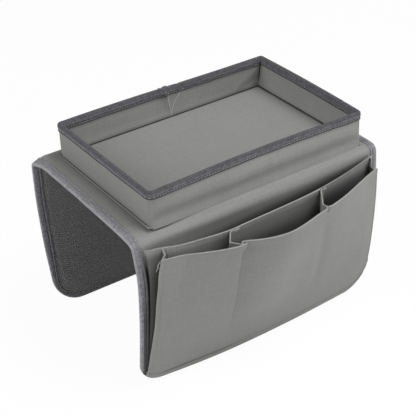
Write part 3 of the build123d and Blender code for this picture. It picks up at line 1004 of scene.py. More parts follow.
tray = {
    # corner radii at the foot and at the rim: rear left, front left, front right, rear right
    "corners": [(3.0, 3.5), (2.2, 8.0), (3.0, 4.0), (3.0, 3.0)],
    # how far the rear right corner leans at its rim
    "lean": (1.2, -3.2),
    "cloth": 0.9,
    "wall": 4.5,
    "boardIn": 1.0,
    "boardOut": 3.5,
    "liningIn": 3.6,
    "boardEase": 0.05,
    "boardFoot": 0.2,
    "boardUnder": 0.4,
    "boardEndGap": 1.0,
    "boardSplit": 5.0,
    # the floor's card: under the floor's top, in from its cloth, its crown, its border's drop, over the foot
    "card": dict(under=1.0, inset=1.6, crown=0.4, drop=1.0, lift=0.3),
    "footGap": 0.1,
    # how far under the rim the cloths and boards end
    "underRim": 3.4,
    # the rear wall is kinked inwards where its two boards meet
    "kinkDepth": 3.2,
    "kinkWidth": 2.2,
    "kinkX": -4.0,
    "kinkFoot": 5.6,
    "creaseDepth": 1.5,
    "creaseWidth": 1.3,
    "creaseX": (8.0, 19.0),
    # a bulge slants up towards its right end
    "bulge": 1.6,
    "bulgeX": (92.0, 140.0),
    "bulgeRise": (4.0, 33.0),
    "bulgeWidth": 7,
    "bulgeFade": 12,
    # bows of the walls at their rim, inwards positive
    "rearLeftBow": -1.2,
    "rearRightBow": 0.7,
    "frontBow": 6.2,
    "frontBowFrom": 10.0,
    "leftBow": 0.3,
    "rightBow": -1.8,
    # the long walls' rim dips at its middle
    "rimDip": 0.4,
    "wave": 0.8,
    "waveRates": (0.03, 0.035),
    # the end walls belly out over their foot and are tucked in right at it
    "belly": 0.7,
    "bellyHeight": 6.5,
    "bellyWidth": 4.5,
    "tuck": 0.7,
    "tuckHeight": 1.3,
    # the front wall's soft relief as (height over its foot, inwards positive)
    "frontRelief": [(0, -1.5), (1.5, -1.3), (4, -0.2), (7, 1.1), (11, 0.5), (17, -1.6), (22, -2.0),
                    (30, -1.2), (44, 0)],
    # the lining bulges over the floor's edge
    "liningBelly": 0.9,
    "liningBellyHeight": 7,
    "liningBellyWidth": 4,
    "floorCrown": 0.5,
    "floorRipple": 0.35,
    "floorRippleRate": 0.022,
    # its border dives into the seam round it, and the outermost part is painted with shade
    "floorGroove": 1.4,
    "floorGrooveWidth": 2.6,
    "floorShade": 1.6,
    # the shaded seams: half their width, and where the floor's lies and the corners' end
    "floorSeam": 0.6,
    "floorSeamIn": 1.0,
    "floorSeamLift": 0.1,
    "cornerSeam": 0.75,
    "cornerSeamUnder": 9,
}
trayX = (trayLow.x + trayHigh.x) / 2
trayY = (trayLow.y + trayHigh.y) / 2
trayHalfX = (trayHigh.x - trayLow.x) / 2
trayHalfY = (trayHigh.y - trayLow.y) / 2
trayFoot = topZ + tray["footGap"]
trayHeight = rimZ - topZ
cornerSigns = [(-1, 1), (-1, -1), (1, -1), (1, 1)]
wallNames = ["rear", "left", "front", "right", "rear"]


def trayCorner(k, height):
    foot, top = tray["corners"][k]
    radius = mix(foot, top, smooth(height / trayHeight))
    across, along = cornerSigns[k]
    centre = Vector((across * (trayHalfX - radius), along * (trayHalfY - radius)))
    if k == 3:
        centre += Vector(tray["lean"]) * smooth(height / trayHeight)
    return centre, radius


def trayPlace(station, height):
    # the place in plan of a station of the outer face, and the way in from it
    kind, k, share = station[:3]
    turn = radians(90 * (k + 1) + (90 * share if kind == "corner" else 0))
    out = Vector((cos(turn), sin(turn)))
    if kind == "corner":
        centre, radius = trayCorner(k, height)
        return centre + out * radius, -out
    ends = []
    for corner in (k - 1, k):
        if 0 <= corner < 4:
            centre, radius = trayCorner(corner, height)
            ends.append(centre + out * radius)
        else:
            ends.append(Vector((0, trayHalfY)))
    return ends[0].lerp(ends[1], share), -out


def trayTrail():
    # stations round the tray from the middle of the rear wall: (kind, wall or corner, share, run)
    stations = []
    for wall in range(5):
        length = trayHalfX if wall in (0, 4) else trayHalfX * 2 if wall == 2 else trayHalfY * 2
        places = spread(0, length, 4.0)
        if wall in (0, 4):
            # stations are closest beside the kink
            places = [1.1 * k for k in range(22)] + spread(25, length, 4.0)
        shares = [place / length for place in places]
        if wall == 4:
            shares = [1 - share for share in reversed(shares)][:-1]
        stations += [("wall", wall, share) for share in shares]
        if wall < 4:
            stations += [("corner", wall, step / 8) for step in range(1, 8)]
    line = [Vector((*trayPlace(s, trayHeight / 2)[0], 0)) for s in stations]
    return [(*s, run) for s, run in zip(stations, lengthsAlong(line))]


trayStations = trayTrail()
frontRelief = tableCurve(tray["frontRelief"])


def wallOf(station):
    return wallNames[station[1]] if station[0] == "wall" else "corner"


def wallShift(station, p, height):
    # how far a wall leans in from straight, at a place and height over its foot
    rise = clamp(height / trayHeight)
    wall = wallOf(station)
    along, upwards = tray["waveRates"]
    uneven = noise.noise(Vector((p.x * along, p.y * along, height * upwards)))
    wave = tray["wave"] * uneven * 4 * rise * (1 - rise)
    long, short = 1 - (p.x / trayHalfX) ** 2, 1 - (p.y / trayHalfY) ** 2
    if wall == "rear":
        # a sharp kink at the boards' gap, and a faint slanting crease beside it
        line = mix(tray["kinkFoot"], tray["kinkX"], rise**1.5)
        kink = tray["kinkDepth"] * e ** -(abs(p.x - line) / tray["kinkWidth"]) / max(rise**0.4, 0.2)
        fromCrease = abs(p.x - mix(*tray["creaseX"], rise**0.7))
        kink += tray["creaseDepth"] * e ** -(fromCrease / tray["creaseWidth"])
        bulgeFrom, bulgeTo = tray["bulgeX"]
        slant = height - mix(*tray["bulgeRise"], (p.x - bulgeFrom) / (bulgeTo - bulgeFrom))
        inside = smooth((p.x - bulgeFrom) / tray["bulgeFade"]) * clamp((trayHalfX - 4 - p.x) / 6)
        kink += tray["bulge"] * inside * bell(slant, tray["bulgeWidth"]) / max(rise**1.3, 0.2)
        half = abs(p.x - tray["kinkX"]) / trayHalfX
        bow = tray["rearLeftBow" if p.x < tray["kinkX"] else "rearRightBow"] * 4 * half * (1 - half)
        return (kink + bow) * rise**1.3 + wave
    if wall == "front":
        upper = smooth((height - tray["frontBowFrom"]) / (trayHeight - tray["frontBowFrom"]))
        return tray["frontBow"] * long * upper + wave + frontRelief(height) * clamp(long * 6)
    if wall in ("left", "right"):
        tuck = tray["tuck"] * bell(height, tray["tuckHeight"])
        belly = tray["belly"] * bell(height - tray["bellyHeight"], tray["bellyWidth"])
        return tray[wall + "Bow"] * short * rise + wave + (tuck - belly) * clamp(short * 4)
    return 0.0


def trayAt(station, height, depth):
    p, inward = trayPlace(station, height)
    q = p + inward * (depth + wallShift(station, p, height))
    dip = tray["rimDip"] * (1 - (p.x / trayHalfX) ** 2) * (1 if wallOf(station) in ("front", "rear") else 0)
    z = trayFoot + height * (1 - dip / trayHeight)
    return Vector((trayX + q.x, trayY + q.y, z))


def trayRings(section):
    # section is a list of (height over the foot, depth)
    return [[trayAt(s, height, depth) for height, depth in section] for s in trayStations]


print("tray")
top = trayHeight - tray["footGap"]
clothTop = top - tray["underRim"]
heights = [mix(0.1, clothTop, k / 9) for k in range(10)]
bandSection = [(h, 0) for h in heights] + [(h, tray["cloth"]) for h in reversed(heights)]
outerBand = sweptPiece("tray_outer_cloth", trayRings(bandSection), "coverCloth", True)
fit(outerBand, "saddle_top", "tray_outer_band")


def liningFace(height):
    # depth of the lining's inner face; it is drawn in again at its foot
    bulge = bell(height - tray["liningBellyHeight"], tray["liningBellyWidth"]) - 0.6 * bell(height, 2)
    return tray["wall"] + tray["liningBelly"] * bulge


heights = [0.1, 1.5, 3, 4.5, 6, 8, 10.5, 14, 19, 25, 31, clothTop]
liningSection = [(h, tray["liningIn"]) for h in heights] + [(h, liningFace(h)) for h in reversed(heights)]
innerBand = sweptPiece("tray_lining", trayRings(liningSection), "liningCloth", True)
fit(innerBand, "saddle_top", "tray_inner_band")


def boardPiece(name, wall, low, high):
    # a board stands in a wall between two places along it
    rows = []
    for station in trayStations:
        p = trayPlace(station, trayHeight / 2)[0]
        place = p.x if wall in ("front", "rear") else p.y
        if wallOf(station) == wall and low <= place <= high:
            rows.append((place, station))
    rows = [station for place, station in sorted(rows, key=lambda pair: pair[0])]
    heights = [mix(tray["boardFoot"], clothTop - tray["boardUnder"], k / 6) for k in range(7)]
    near = [[trayAt(s, h, tray["boardIn"] + tray["boardEase"]) for h in heights] for s in rows]
    far = [[trayAt(s, h, tray["boardOut"] - tray["boardEase"]) for h in heights] for s in rows]
    return clothPiece(name, near, far, "stiffenerBoard")


boardCorner = max(top for foot, top in tray["corners"])
longReach = trayHalfX - boardCorner - tray["boardEndGap"]
shortReach = trayHalfY - boardCorner - tray["boardEndGap"]
halfSplit = tray["boardSplit"] / 2
for name, wall, low, high, node in (
    ("front_wall_card", "front", -longReach, longReach, "tray_board_front"),
    ("rear_wall_card_left", "rear", -longReach, -halfSplit, "tray_board_rear_left"),
    ("rear_wall_card_right", "rear", halfSplit, longReach, "tray_board_rear_right"),
    ("left_wall_card", "left", -shortReach, shortReach, "tray_board_left"),
    ("right_wall_card", "right", -shortReach, shortReach, "tray_board_right"),
):
    fit(boardPiece(name, wall, low, high), "saddle_top", node)


def floorPlaces(half):
    # from one edge of the floor to the other, close together at both
    edge = [0, 0.5, 1.0, 1.6, 2.4, 4, 7]
    return [-half + d for d in edge] + spread(-half + 14, half - 14, 8) + [half - d for d in reversed(edge)]


def floorGrid(z, inset, crown, drop):
    # one face of the floor: a low crown, with its border dropped into the seam
    halfX, halfY = trayHalfX - inset, trayHalfY - inset
    grid = []
    for y in floorPlaces(halfY):
        row = []
        for x in floorPlaces(halfX):
            near = min(halfX - abs(x), halfY - abs(y))
            rise = crown * (1 - (x / halfX) ** 2) * (1 - (y / halfY) ** 2)
            rate = tray["floorRippleRate"]
            ripple = tray["floorRipple"] * noise.noise(Vector((x * rate, y * rate, 4.0))) * clamp(near / 20)
            fall = drop * (1 - smooth(near / tray["floorGrooveWidth"]))
            row.append(Vector((trayX + x, trayY + y, z + rise + ripple - fall)))
        grid.append(row)
    return grid


floorIn = tray["wall"] + 0.15
floorCloth = clothPiece(
    "tray_floor_lining", floorGrid(floorTop, floorIn, tray["floorCrown"], tray["floorGroove"]),
    floorGrid(floorTop - tray["cloth"], floorIn, tray["floorCrown"], tray["floorGroove"]), "coverCloth",
)


def floorShadeBorder(face):
    place = face.center / mm
    fromX = trayHalfX - floorIn - abs(place.x - trayX)
    fromY = trayHalfY - floorIn - abs(place.y - trayY)
    return min(fromX, fromY) < tray["floorShade"]


fit(floorCloth, "saddle_top", "tray_floor_cloth")
# painted shade on the floor's outermost border
paintFaces(floorCloth, "seamShade", floorShadeBorder)
card = tray["card"]
cardIn = floorIn + card["inset"]
floorCard = clothPiece(
    "tray_floor_card", floorGrid(floorTop - card["under"], cardIn, card["crown"], card["drop"]),
    floorGrid(trayFoot + card["lift"], cardIn, 0, 0), "stiffenerBoard",
)
fit(floorCard, "saddle_top", "tray_floor_board")


# a narrow dark cord of painted shade runs round the floor's seam, and one up each inner corner
height, depth = floorTop - trayFoot + tray["floorSeamLift"], tray["wall"] + tray["floorSeamIn"]
size = tray["floorSeam"]
seamSection = [(height + size * sin(a), depth + size * cos(a)) for a in roundTurns(6)]
fit(sweptPiece("tray_floor_shade_cord", trayRings(seamSection), "seamShade", True), "saddle_top")
for k, cornerName in enumerate(("rear_left", "front_left", "front_right", "rear_right")):
    rings = []
    for step in range(9):
        height = mix(floorTop - trayFoot - 1, top - tray["cornerSeamUnder"], step / 8)
        radius = mix(*tray["corners"][k], smooth(height / trayHeight))
        depth = radius + (tray["wall"] - radius) * 2**0.5 - 0.2
        middle = trayAt(("corner", k, 0.5, 0), height, depth)
        rings.append([middle + Vector((cos(a), sin(a), 0)) * tray["cornerSeam"] for a in roundTurns(8)])
    fit(sweptPiece(f"tray_{cornerName}_corner_shade_cord", rings, "seamShade"), "saddle_top")


# Rim tape and its join at the middle of the rear wall

rim = {
    # one face of the folded tape as (down from the rim, stand off the wall): lip, stitch groove, belly, fold
    "face": [(9.7, 0.6), (9.5, 1.05), (8.9, 1.15), (8.5, 0.9), (8.2, 0.15), (7.3, 0.15), (6.9, 0.95),
             (5.4, 1.3), (3.4, 1.3), (1.3, 0.9), (0.3, 0.0)],
    "thick": 0.8,
    "taper": 2.4,
    # how much lower the front wall's rim is rolled
    "frontDrop": 1.0,
    "seam": 7.75,
    "wobble": 0.35,
    "wobbleRate": 0.05,
    # how far down the darker fold reaches, and the stitch groove and the lip, which get painted shade
    "foldShows": 2.4,
    "groove": (6.9, 7.3, 8.6),
    "thread": dict(pitch=3.6, length=2.0, width=0.8, proud=0.15, sunk=0.25),
    # the tape's end lies over its start at the kink of the rear wall
    "joinFrom": -7.0,
    "joinTo": 4.0,
    "joinStand": 0.9,
    "joinRise": 0.9,
    "joinSlant": 2.2,
}


def rimSection(extra=0.0, rise=0.0):
    # closed section over the rim: (height over the rim, depth from the wall's outer face)
    wall, thick = tray["wall"], rim["thick"]
    out = [(rise - down if down < 4 else -down, -stand - extra) for down, stand in rim["face"]]
    over = [(rise, wall * 0.15), (rise, wall * 0.35)]
    back = [(h, wall - d - rim["taper"] * clamp(1 + h / 4)) for h, d in reversed(out)]
    low = -rim["face"][0][0]
    under = [(low, wall + 0.1), (-2.4, wall + 0.1), (-thick - 0.3, wall * 0.7)]
    return out + over + back + under + [(-thick - 0.3, wall * 0.3), (-2.4, -0.1), (low, -0.1)]


def rimRings():
    # the tape's lower edge wobbles, and the front wall's rim is rolled lower between its corners
    rings = []
    for station in trayStations:
        edge = rim["wobble"] * noise.noise(Vector((station[3] * rim["wobbleRate"], 1.5, 0)))
        low = 0
        if wallOf(station) == "front":
            low = rim["frontDrop"] * smooth(6 * min(station[2], 1 - station[2]))
        ring = []
        for h, d in rimSection():
            ring.append(trayAt(station, top + h + (edge if h < -7 else 0) - low * clamp(1.5 + h / 4), d))
        rings.append(ring)
    return rings


def inShadedGroove(down):
    start, stop, lip = rim["groove"]
    return start < down < stop or down > lip


downs = [-h for h, d in rimSection()]
# painted shade in the stitch groove and under the lip
rimBands = {
    "seamShade": placesIn(downs, inShadedGroove),
    "rimFold": placesIn(downs, lambda down: down < rim["foldShows"]),
}
rimTape = sweptPiece("tray_rim_tape", rimRings(), "rimTape", True, sharp=60, bands=rimBands)
fit(rimTape, "saddle_top", "tray_rim_binding")


def rimStitches(depth):
    height = top - rim["seam"]
    total = [s[3] for s in trayStations]

    def placeAt(distance, lift):
        k, part = stretchAt(total, distance)
        out = depth + (lift if depth > tray["wall"] / 2 else -lift)
        return trayAt(trayStations[k], height, out).lerp(trayAt(trayStations[k + 1], height, out), part)

    return stitchRuns(placeAt, total[-1], rim["thread"])


for where, depth in (("outer", -0.5), ("inner", tray["wall"] + 0.5)):
    fit(stitchPiece(f"rim_stitches_{where}", rimStitches(depth), "sewingThread", rim["thread"]), "saddle_top")


def joinRing(x, section):
    # the lap's section at x, its lower parts slanting away
    ring = []
    for h, d in section:
        way = 1 if d > tray["wall"] / 2 else -1
        slanted = x + rim["joinSlant"] * h / rim["face"][0][0] * way
        wall = 0 if slanted < 0 else 4
        share = -slanted / (trayHalfX - 4) if wall == 0 else 1 - slanted / (trayHalfX - 4)
        ring.append(trayAt(("wall", wall, share, 0), top + h, d))
    return ring


lapSection = rimSection(rim["joinStand"], rim["joinRise"])
rings = [joinRing(mix(rim["joinFrom"], rim["joinTo"], k / 8), lapSection) for k in range(9)]
fit(sweptPiece("rim_tape_join", rings, "rimTape", sharp=60, bands=rimBands), "saddle_top")


# Raised thread ends beside the kink, on the rear wall's inner face

kinkEnds = {
    # (from the wall's middle, height over the foot)
    "long": [(25.2, 36), (20.6, 32.4), (16.1, 27.8), (12.6, 22.9), (9.6, 16.4), (7.2, 10.0), (6.1, 5.6)],
    "short": [(3.8, 36), (2.5, 32.1), (3.4, 22.5), (5.4, 12.4)],
    "size": 0.5,
    "thickest": 0.6,
    "proud": 0.45,
    "creaseProud": 0.1,
    # the lap's raw end and the crease under it, drawn as a dark cord of painted shade, with its half width
    "crease": [(-0.4, 40, 1.1), (0.0, 37, 1.2), (0.6, 33.5, 0.8), (1.0, 31.5, 0.4), (1.3, 29, 0.15)],
}


def onRearWall(x, height, depth):
    share = 1 - x / (trayHalfX - tray["corners"][3][1])
    return trayAt(("wall", 4, share, 0), height, depth)


def kinkCord(name, proud, finish):
    # a cord along the rear wall's inner face; it isn't as thick as it is wide where it is widest
    inside = tray["wall"] + proud
    path = [Vector((x, height, *(wide or (kinkEnds["size"],)))) for x, height, *wide in kinkEnds[name]]
    rings = []
    for x, height, size in smoothLine(path, 4):
        flat = min(size, kinkEnds["thickest"])
        rings.append([onRearWall(x + size * cos(a), height, inside + flat * sin(a)) for a in roundTurns(6)])
    fit(sweptPiece(f"kink_{name}", rings, finish), "saddle_top")


kinkCord("long", kinkEnds["proud"], "looseThread")
kinkCord("short", kinkEnds["proud"], "looseThread")
# the crease's dark cord is painted shade
kinkCord("crease", kinkEnds["creaseProud"], "seamShade")


# Seam allowance round the tray's foot

foot = {
    "out": 2.9,
    # how much of it shows in front, and how deep it reaches where the top slopes away
    "frontShare": 0.3,
    "frontDepth": 2.0,
}
footSection = [(0.05, -0.5), (0.9, -0.7), (1.6, -1.3), (1.5, -2.2), (0.8, -foot["out"]), (0.05, -foot["out"])]
footRings = []
for station in trayStations:
    kind, k, share = station[:3]
    # one along the front wall, nothing along the others, in between round the front corners
    ahead = {("wall", 2): 1.0, ("corner", 1): share, ("corner", 2): 1 - share}.get((kind, k), 0.0)
    ring = []
    for h, d in footSection:
        height = mix(h, h * 0.7 if h > 0.1 else -foot["frontDepth"], ahead)
        ring.append(trayAt(station, height, d * mix(1.0, foot["frontShare"], ahead)))
    footRings.append(ring)
welt = sweptPiece("tray_foot_seam", footRings, "coverCloth", True, sharp=60)


def weltShadeStrips(face):
    # the two narrow strips beside the wall and the top lie in shade, but not in front
    count = len(footSection)
    return face.index % count in (0, 4) and wallOf(trayStations[face.index // count]) != "front"


# painted shade on the welt's narrow strips beside the wall and the top
paintFaces(welt, "seamShade", weltShadeStrips)
fit(welt, "saddle_top", "tray_foot_welt")


# Pocket: back panel, folded gussets and dividers, and the front panel

pocket = {
    # how far the back panel's mouth stands in front of the flap, and how high it rises, by x
    "backReach": [(-156, 5.4), (-150, 6.6), (-143, 7.2), (-136, 8.4), (-128, 10.6), (-120, 13.2), (-94, 16.6),
                  (-63, 20.4), (-32, 19.6), (2, 18.6), (38, 17), (68, 15.2), (96, 12.0), (123, 8.0),
                  (156, 3.4)],
    "backRise": [(-156, 3.2), (-140, 1.2), (-125, 0), (90, 0), (125, 1.6), (156, 5)],
    # the front panel's mouth steps back at the left divider's seam, so it has two curves
    "leftReach": [(-147, 15.5), (-135, 18.8), (-121, 22.8), (-108, 29), (-89, 37), (-76, 41), (-66, 43.8),
                  (-58, 45)],
    "rightReach": [(-60, 38), (-51, 41.9), (-44, 46), (-32, 51), (-20, 54), (-8, 55.4), (4, 54.6), (22, 51.4),
                   (41, 46.8), (57, 43.2), (75, 39), (93, 34), (119, 25), (136, 19), (156, 13)],
    # where its sides stand at the mouth and at the foot, and how far its cloth drifts right on the way down
    "topLeft": -145.0,
    "topRight": 152.4,
    "lowLeft": -157.5,
    "lowRight": 159.0,
    "drift": 16.0,
    # the left side bows out under its top corner and at its foot
    "leftBow": 2.9,
    "leftFoot": 1.0,
    # how far the back and the front panel stand off the flap at their foot
    "gap": 0.35,
    "stand": 1.4,
    "cloth": 0.9,
    # the panels open upwards by these powers of the height, the front one from a share of the foot's height
    "openPower": 1.32,
    "backOpenPower": 1.5,
    "openFrom": 0.6,
    # the hems' height, and how thick they are behind the panels
    "hem": 12,
    "backHem": 0.8,
    "frontHem": 0.7,
    # the front panel's sides are turned in, so they are thicker, and its foot laps over the tape
    "turnedSide": 1.4,
    "over": 0.4,
    "wave": 2.0,
    "waveRates": (0.018, 0.014),
    # left divider's seam: the step closes below the mouth and leaves a crease
    "seamX": -59.0,
    "stepFrom": 0.72,
    "stepDrop": 2.0,
    "stepDropWidth": 9,
    "stepClose": 5.0,
    "stepCloseWidth": 60,
    # under it the cloth swells out to the right of the seam, between two shares of the height
    "swell": 8.0,
    "swellWidth": 18.0,
    "swellReach": 75,
    "swellShares": (0.2, 0.92),
    # right divider's seam: a short sharp pleat at the mouth and a long soft hollow under it
    "pleatX": 55.0,
    "pleatDepth": 2.4,
    "pleatWidth": 1.6,
    "pleatShare": 0.945,
    "hollow": 1.5,
    "hollowWidth": 8,
    "hollowShares": (0.15, 0.95),
    # sewn lines, as distances from the foot, the mouth and the sides
    "footSeam": 6.0,
    "mouthSeam": 10.0,
    "sideSeam": 3.0,
    "backSeam": 4.0,
    "seamDepth": 0.6,
    "seamWidth": 0.8,
    # how much of that depth shows at each; the foot's thread gathers the cloth more between two places
    "footDent": 1.5,
    "footGather": 2.2,
    "gatherX": (-140, -20),
    "mouthDent": 0.3,
    "sideDent": 0.8,
    "backDent": 0.25,
    # the open back panel spreads over the tape at its left end, most at its mouth
    "backSpread": 0.6,
    "backSpreadHeight": 14,
    "backSpreadFrom": 120,
    "backSpreadFade": 30,
    # where the back panel gets deep painted shade, and a lighter painted shade at its left corner
    "deepShadeX": (67, 148),
    "cornerShadeX": -137,
    # closed: the joint's turn in degrees, how far the panel and the gussets lean then, what stays of them
    "closeTurn": 14.0,
    "closeLean": 11.5,
    "foldLean": 10.3,
    "closeKeep": 0.05,
    "thread": dict(pitch=3.3, length=2.3, width=0.5, proud=0.05, sunk=0.2),
}
backReach = tableCurve(pocket["backReach"])
backRise = tableCurve(pocket["backRise"])
leftReach = tableCurve(pocket["leftReach"])
rightReach = tableCurve(pocket["rightReach"])
panelHeight = frontMouthZ - pocketFootZ
mouthWidth = pocket["topRight"] - pocket["topLeft"]
flapHeights = {}


def flapFace(x, z):
    # the front flap's outer face at a height
    key = (round(x, 2), round(z, 2))
    if key not in flapHeights:
        low, high = shoulderRun[front] + 6, pathLength[front] + 2
        for _ in range(20):
            middle = (low + high) / 2
            if outerFace(front, x, middle, drawnIn=False).z > z:
                low = middle
            else:
                high = middle
        flapHeights[key] = outerFace(front, x, middle, drawnIn=False)
    return flapHeights[key]


def footZ(x, inset):
    return outerFace(front, x, bottomRun(front, x, inset)).z


def rowHeights(total, fineLow, fineHigh, step):
    # distances from the foot, with closer rows at both sewn ends
    upper = [total - d for d in reversed(fineHigh)]
    count = max(1, round((upper[0] - fineLow[-1]) / step))
    return fineLow + [mix(fineLow[-1], upper[0], k / count) for k in range(1, count)] + upper


def seamRows(seam):
    # distances from an edge, fine round its sewn line
    return [0, 0.5, 1.4, (seam + 0.4) / 2, seam - 1.6, seam - 0.8, seam - 0.35, seam, seam + 0.35, seam + 0.8,
            seam + 1.6, seam + 3.5]


def backOpening(z):
    return clamp((z - pocketFootZ) / (backMouthZ - pocketFootZ)) ** pocket["backOpenPower"]


def backFaceY(x, z):
    return flapFace(x, z).y - pocket["gap"] - pocket["cloth"] - backReach(x) * backOpening(z)


def backPanelGrid():
    half = edgeX - binding["arm"] - pocket["gap"]
    rows = rowHeights(backMouthZ - pocketFootZ, [0, 3, 7], seamRows(pocket["backSeam"]), 5.5)
    grid = []
    for height in rows:
        row = []
        for x in spread(-half, half, 5.0, ends=12, endStep=3):
            v = height / rows[-1]
            start = footZ(x, binding["arm"] + pocket["gap"])
            z = mix(start, backMouthZ + backRise(x), v)
            fromSeam = rows[-1] - height - pocket["backSeam"]
            dent = pocket["seamDepth"] * pocket["backDent"] * bell(fromSeam, pocket["seamWidth"])
            wide = pocket["backSpread"] * e ** ((z - backMouthZ) / pocket["backSpreadHeight"])
            wide *= smooth((-x - pocket["backSpreadFrom"]) / pocket["backSpreadFade"])
            row.append(Vector((x - wide, backFaceY(x, z) + dent, z)))
        grid.append(row)
    return grid


def panelReach(x, v):
    # how far the front panel's face stands out, by its place along the mouth
    seam = pocket["seamX"]
    step = smooth((v - pocket["stepFrom"]) / (1 - pocket["stepFrom"]))
    drop = pocket["stepDrop"] * e ** (min(x - seam, 0) / pocket["stepDropWidth"])
    close = pocket["stepClose"] * e ** (-max(x - seam, 0) / pocket["stepCloseWidth"])
    left = leftReach(min(x, seam)) - (1 - step) * drop
    right = rightReach(max(x, seam)) + (1 - step) * close
    pleat = pocket["pleatDepth"] * bell(x - pocket["pleatX"], pocket["pleatWidth"])
    pleat *= smooth((v - pocket["pleatShare"]) / 0.03)
    return mix(left, right, smooth((x - seam + 0.7) / 1.4)) - pleat


def between(v, shares):
    # one between two shares of the panel's height, fading in above the first and out below the second
    low, high = shares
    return smooth((v - low) / 0.3) * smooth((high - v) / 0.15)


def toMouthEnd(mouthX):
    return min(mouthX - pocket["topLeft"], pocket["topRight"] - mouthX)


def panelRelief(x, z, v, mouthX):
    # soft unevenness on top of the panel's opening
    past = max(mouthX - pocket["seamX"], 0)
    swell = pocket["swell"] * (1 - e ** (-past / pocket["swellWidth"])) * bell(past, pocket["swellReach"])
    hollow = pocket["hollow"] * bell(mouthX - pocket["pleatX"], pocket["hollowWidth"])
    across, upwards = pocket["waveRates"]
    wave = pocket["wave"] * noise.noise(Vector((x * across, z * upwards, 7.7)))
    wave *= smooth(v * 3) * smooth(toMouthEnd(mouthX) / 20)
    return swell * between(v, pocket["swellShares"]) - hollow * between(v, pocket["hollowShares"]) + wave


def panelOpening(z):
    low = pocketFootZ * pocket["openFrom"]
    return clamp((z - low) / (frontMouthZ - low)) ** pocket["openPower"]


def panelBottom(x):
    # the panel's lower edge covers the tape's, and is rounder at its right corner
    radius = footRadius(front, 1)
    straight = edgeX - radius
    if x <= straight:
        return footZ(x, -pocket["over"])
    over = min((x - straight) / (pocket["lowRight"] - straight), 1)
    return outerFace(front, x, footRun(front, x) + pocket["over"] - radius * (1 - (1 - over * over) ** 0.5)).z


def panelMouthX(u):
    return mix(pocket["topLeft"], pocket["topRight"], (u + 1) / 2)


def panelSides(z):
    share = clamp((z - pocketFootZ) / panelHeight)
    bow = pocket["leftBow"] * smooth((share - 0.4) / 0.35) * smooth((1 - share) / 0.12)
    bow += pocket["leftFoot"] * smooth((0.1 - share) / 0.1)
    left = mix(pocket["lowLeft"], pocket["topLeft"], share**1.1) - bow
    return left, mix(pocket["lowRight"], pocket["topRight"], share)


def panelPoint(u, v, lift=0.0):
    # u runs from the left side to the right one, v from the foot to the mouth
    drift = pocket["drift"] * (1 - u**4)
    z = mix(panelBottom(mix(pocket["lowLeft"], pocket["lowRight"], (u + 1) / 2) + drift), frontMouthZ, v)
    left, right = panelSides(z)
    x = mix(left, right, (u + 1) / 2) + drift * (1 - v)
    mouthX = panelMouthX(u)
    reach = panelReach(mouthX, v) * panelOpening(z)
    # each sewn line pulls a dent into the cloth
    gatherFrom, gatherTo = pocket["gatherX"]
    gather = pocket["footGather"] * smooth((x - gatherFrom) / 20) * smooth((gatherTo - x) / 50)
    width = pocket["seamWidth"]
    dent = (pocket["footDent"] + gather) * bell(panelHeight * v - pocket["footSeam"], width * 1.2)
    dent += pocket["mouthDent"] * bell(panelHeight * (1 - v) - pocket["mouthSeam"], width)
    dent += pocket["sideDent"] * bell(toMouthEnd(mouthX) - pocket["sideSeam"], width)
    out = pocket["stand"] + pocket["cloth"] + reach + panelRelief(x, z, v, mouthX)
    return Vector((x, flapFace(x, z).y - out + dent * pocket["seamDepth"] - lift, z))


print("pocket")
toFront = Vector((0, -1, 0))
backGrid = backPanelGrid()
backPanel = sheetPiece("pocket_back_cloth", backGrid, pocket["cloth"], "pocketShadeCloth", toFront, "edgeHighlightCloth")


def turnedSide(face):
    # the turned side edges, which lie in shade under the mouth's hem
    place = face.center / mm
    return face.material_index == 1 and abs(place.x) > edgeX - 20 and place.z < backMouthZ - 2


# painted shade on the turned side edges
paintFaces(backPanel, "seamShade", turnedSide)
# painted shade: behind the right bay the cloth is painted darker, and left of the left gusset a lighter
# painted shade
deepShadeFrom, deepShadeTo = pocket["deepShadeX"]
paintFaces(backPanel, "deepShadeCloth", lambda face: deepShadeFrom < face.center.x / mm < deepShadeTo)
paintFaces(
    backPanel, "cornerShadeCloth",
    lambda face: face.material_index == 0 and face.center.x / mm < pocket["cornerShadeX"],
)
fit(backPanel, "front_flap", "pocket_back_panel")


def panelHem(name, grid, thickness):
    # the folded edge behind a panel's mouth: the panel's top rows, set back
    total = lengthsAlong([row[len(row) // 2] for row in grid])
    keep = [k for k, length in enumerate(total) if length > total[-1] - pocket["hem"]]
    normals = gridNormals(grid)
    middle = normals[len(grid) // 2][len(grid[0]) // 2]
    sign = -1 if middle.dot(toFront) < 0 else 1
    behind = pocket["cloth"] + 0.02
    columns = range(3, len(grid[0]) - 3)
    near = [[grid[k][c] - normals[k][c] * sign * behind for c in columns] for k in keep]
    far = [[grid[k][c] - normals[k][c] * sign * (behind + thickness) for c in columns] for k in keep]
    return clothPiece(name, near, far, "pocketShadeCloth")


fit(panelHem("pocket_back_fold", backGrid, pocket["backHem"]), "front_flap", "pocket_back_hem")

# columns are closest at the divider seams and at the sewn sides
seamColumns = seamRows(pocket["sideSeam"])
columnXs = set(pocket["topLeft"] + d for d in seamColumns) | set(pocket["topRight"] - d for d in seamColumns)
for seam in (pocket["seamX"], pocket["pleatX"]):
    columnXs |= set(seam + 0.45 * k for k in range(-7, 8))
columnXs |= set(
    x for x in spread(pocket["topLeft"] + 8, pocket["topRight"] - 8, 3.6)
    if min(abs(x - pocket["seamX"]), abs(x - pocket["pleatX"])) > 4.5
)
us = [2 * (x - pocket["topLeft"]) / mouthWidth - 1 for x in sorted(columnXs)]
frontRows = rowHeights(panelHeight, seamRows(pocket["footSeam"]), seamRows(pocket["mouthSeam"]), 4.4)
vs = [height / panelHeight for height in frontRows]
frontGrid = [[panelPoint(u, v) for u in us] for v in vs]


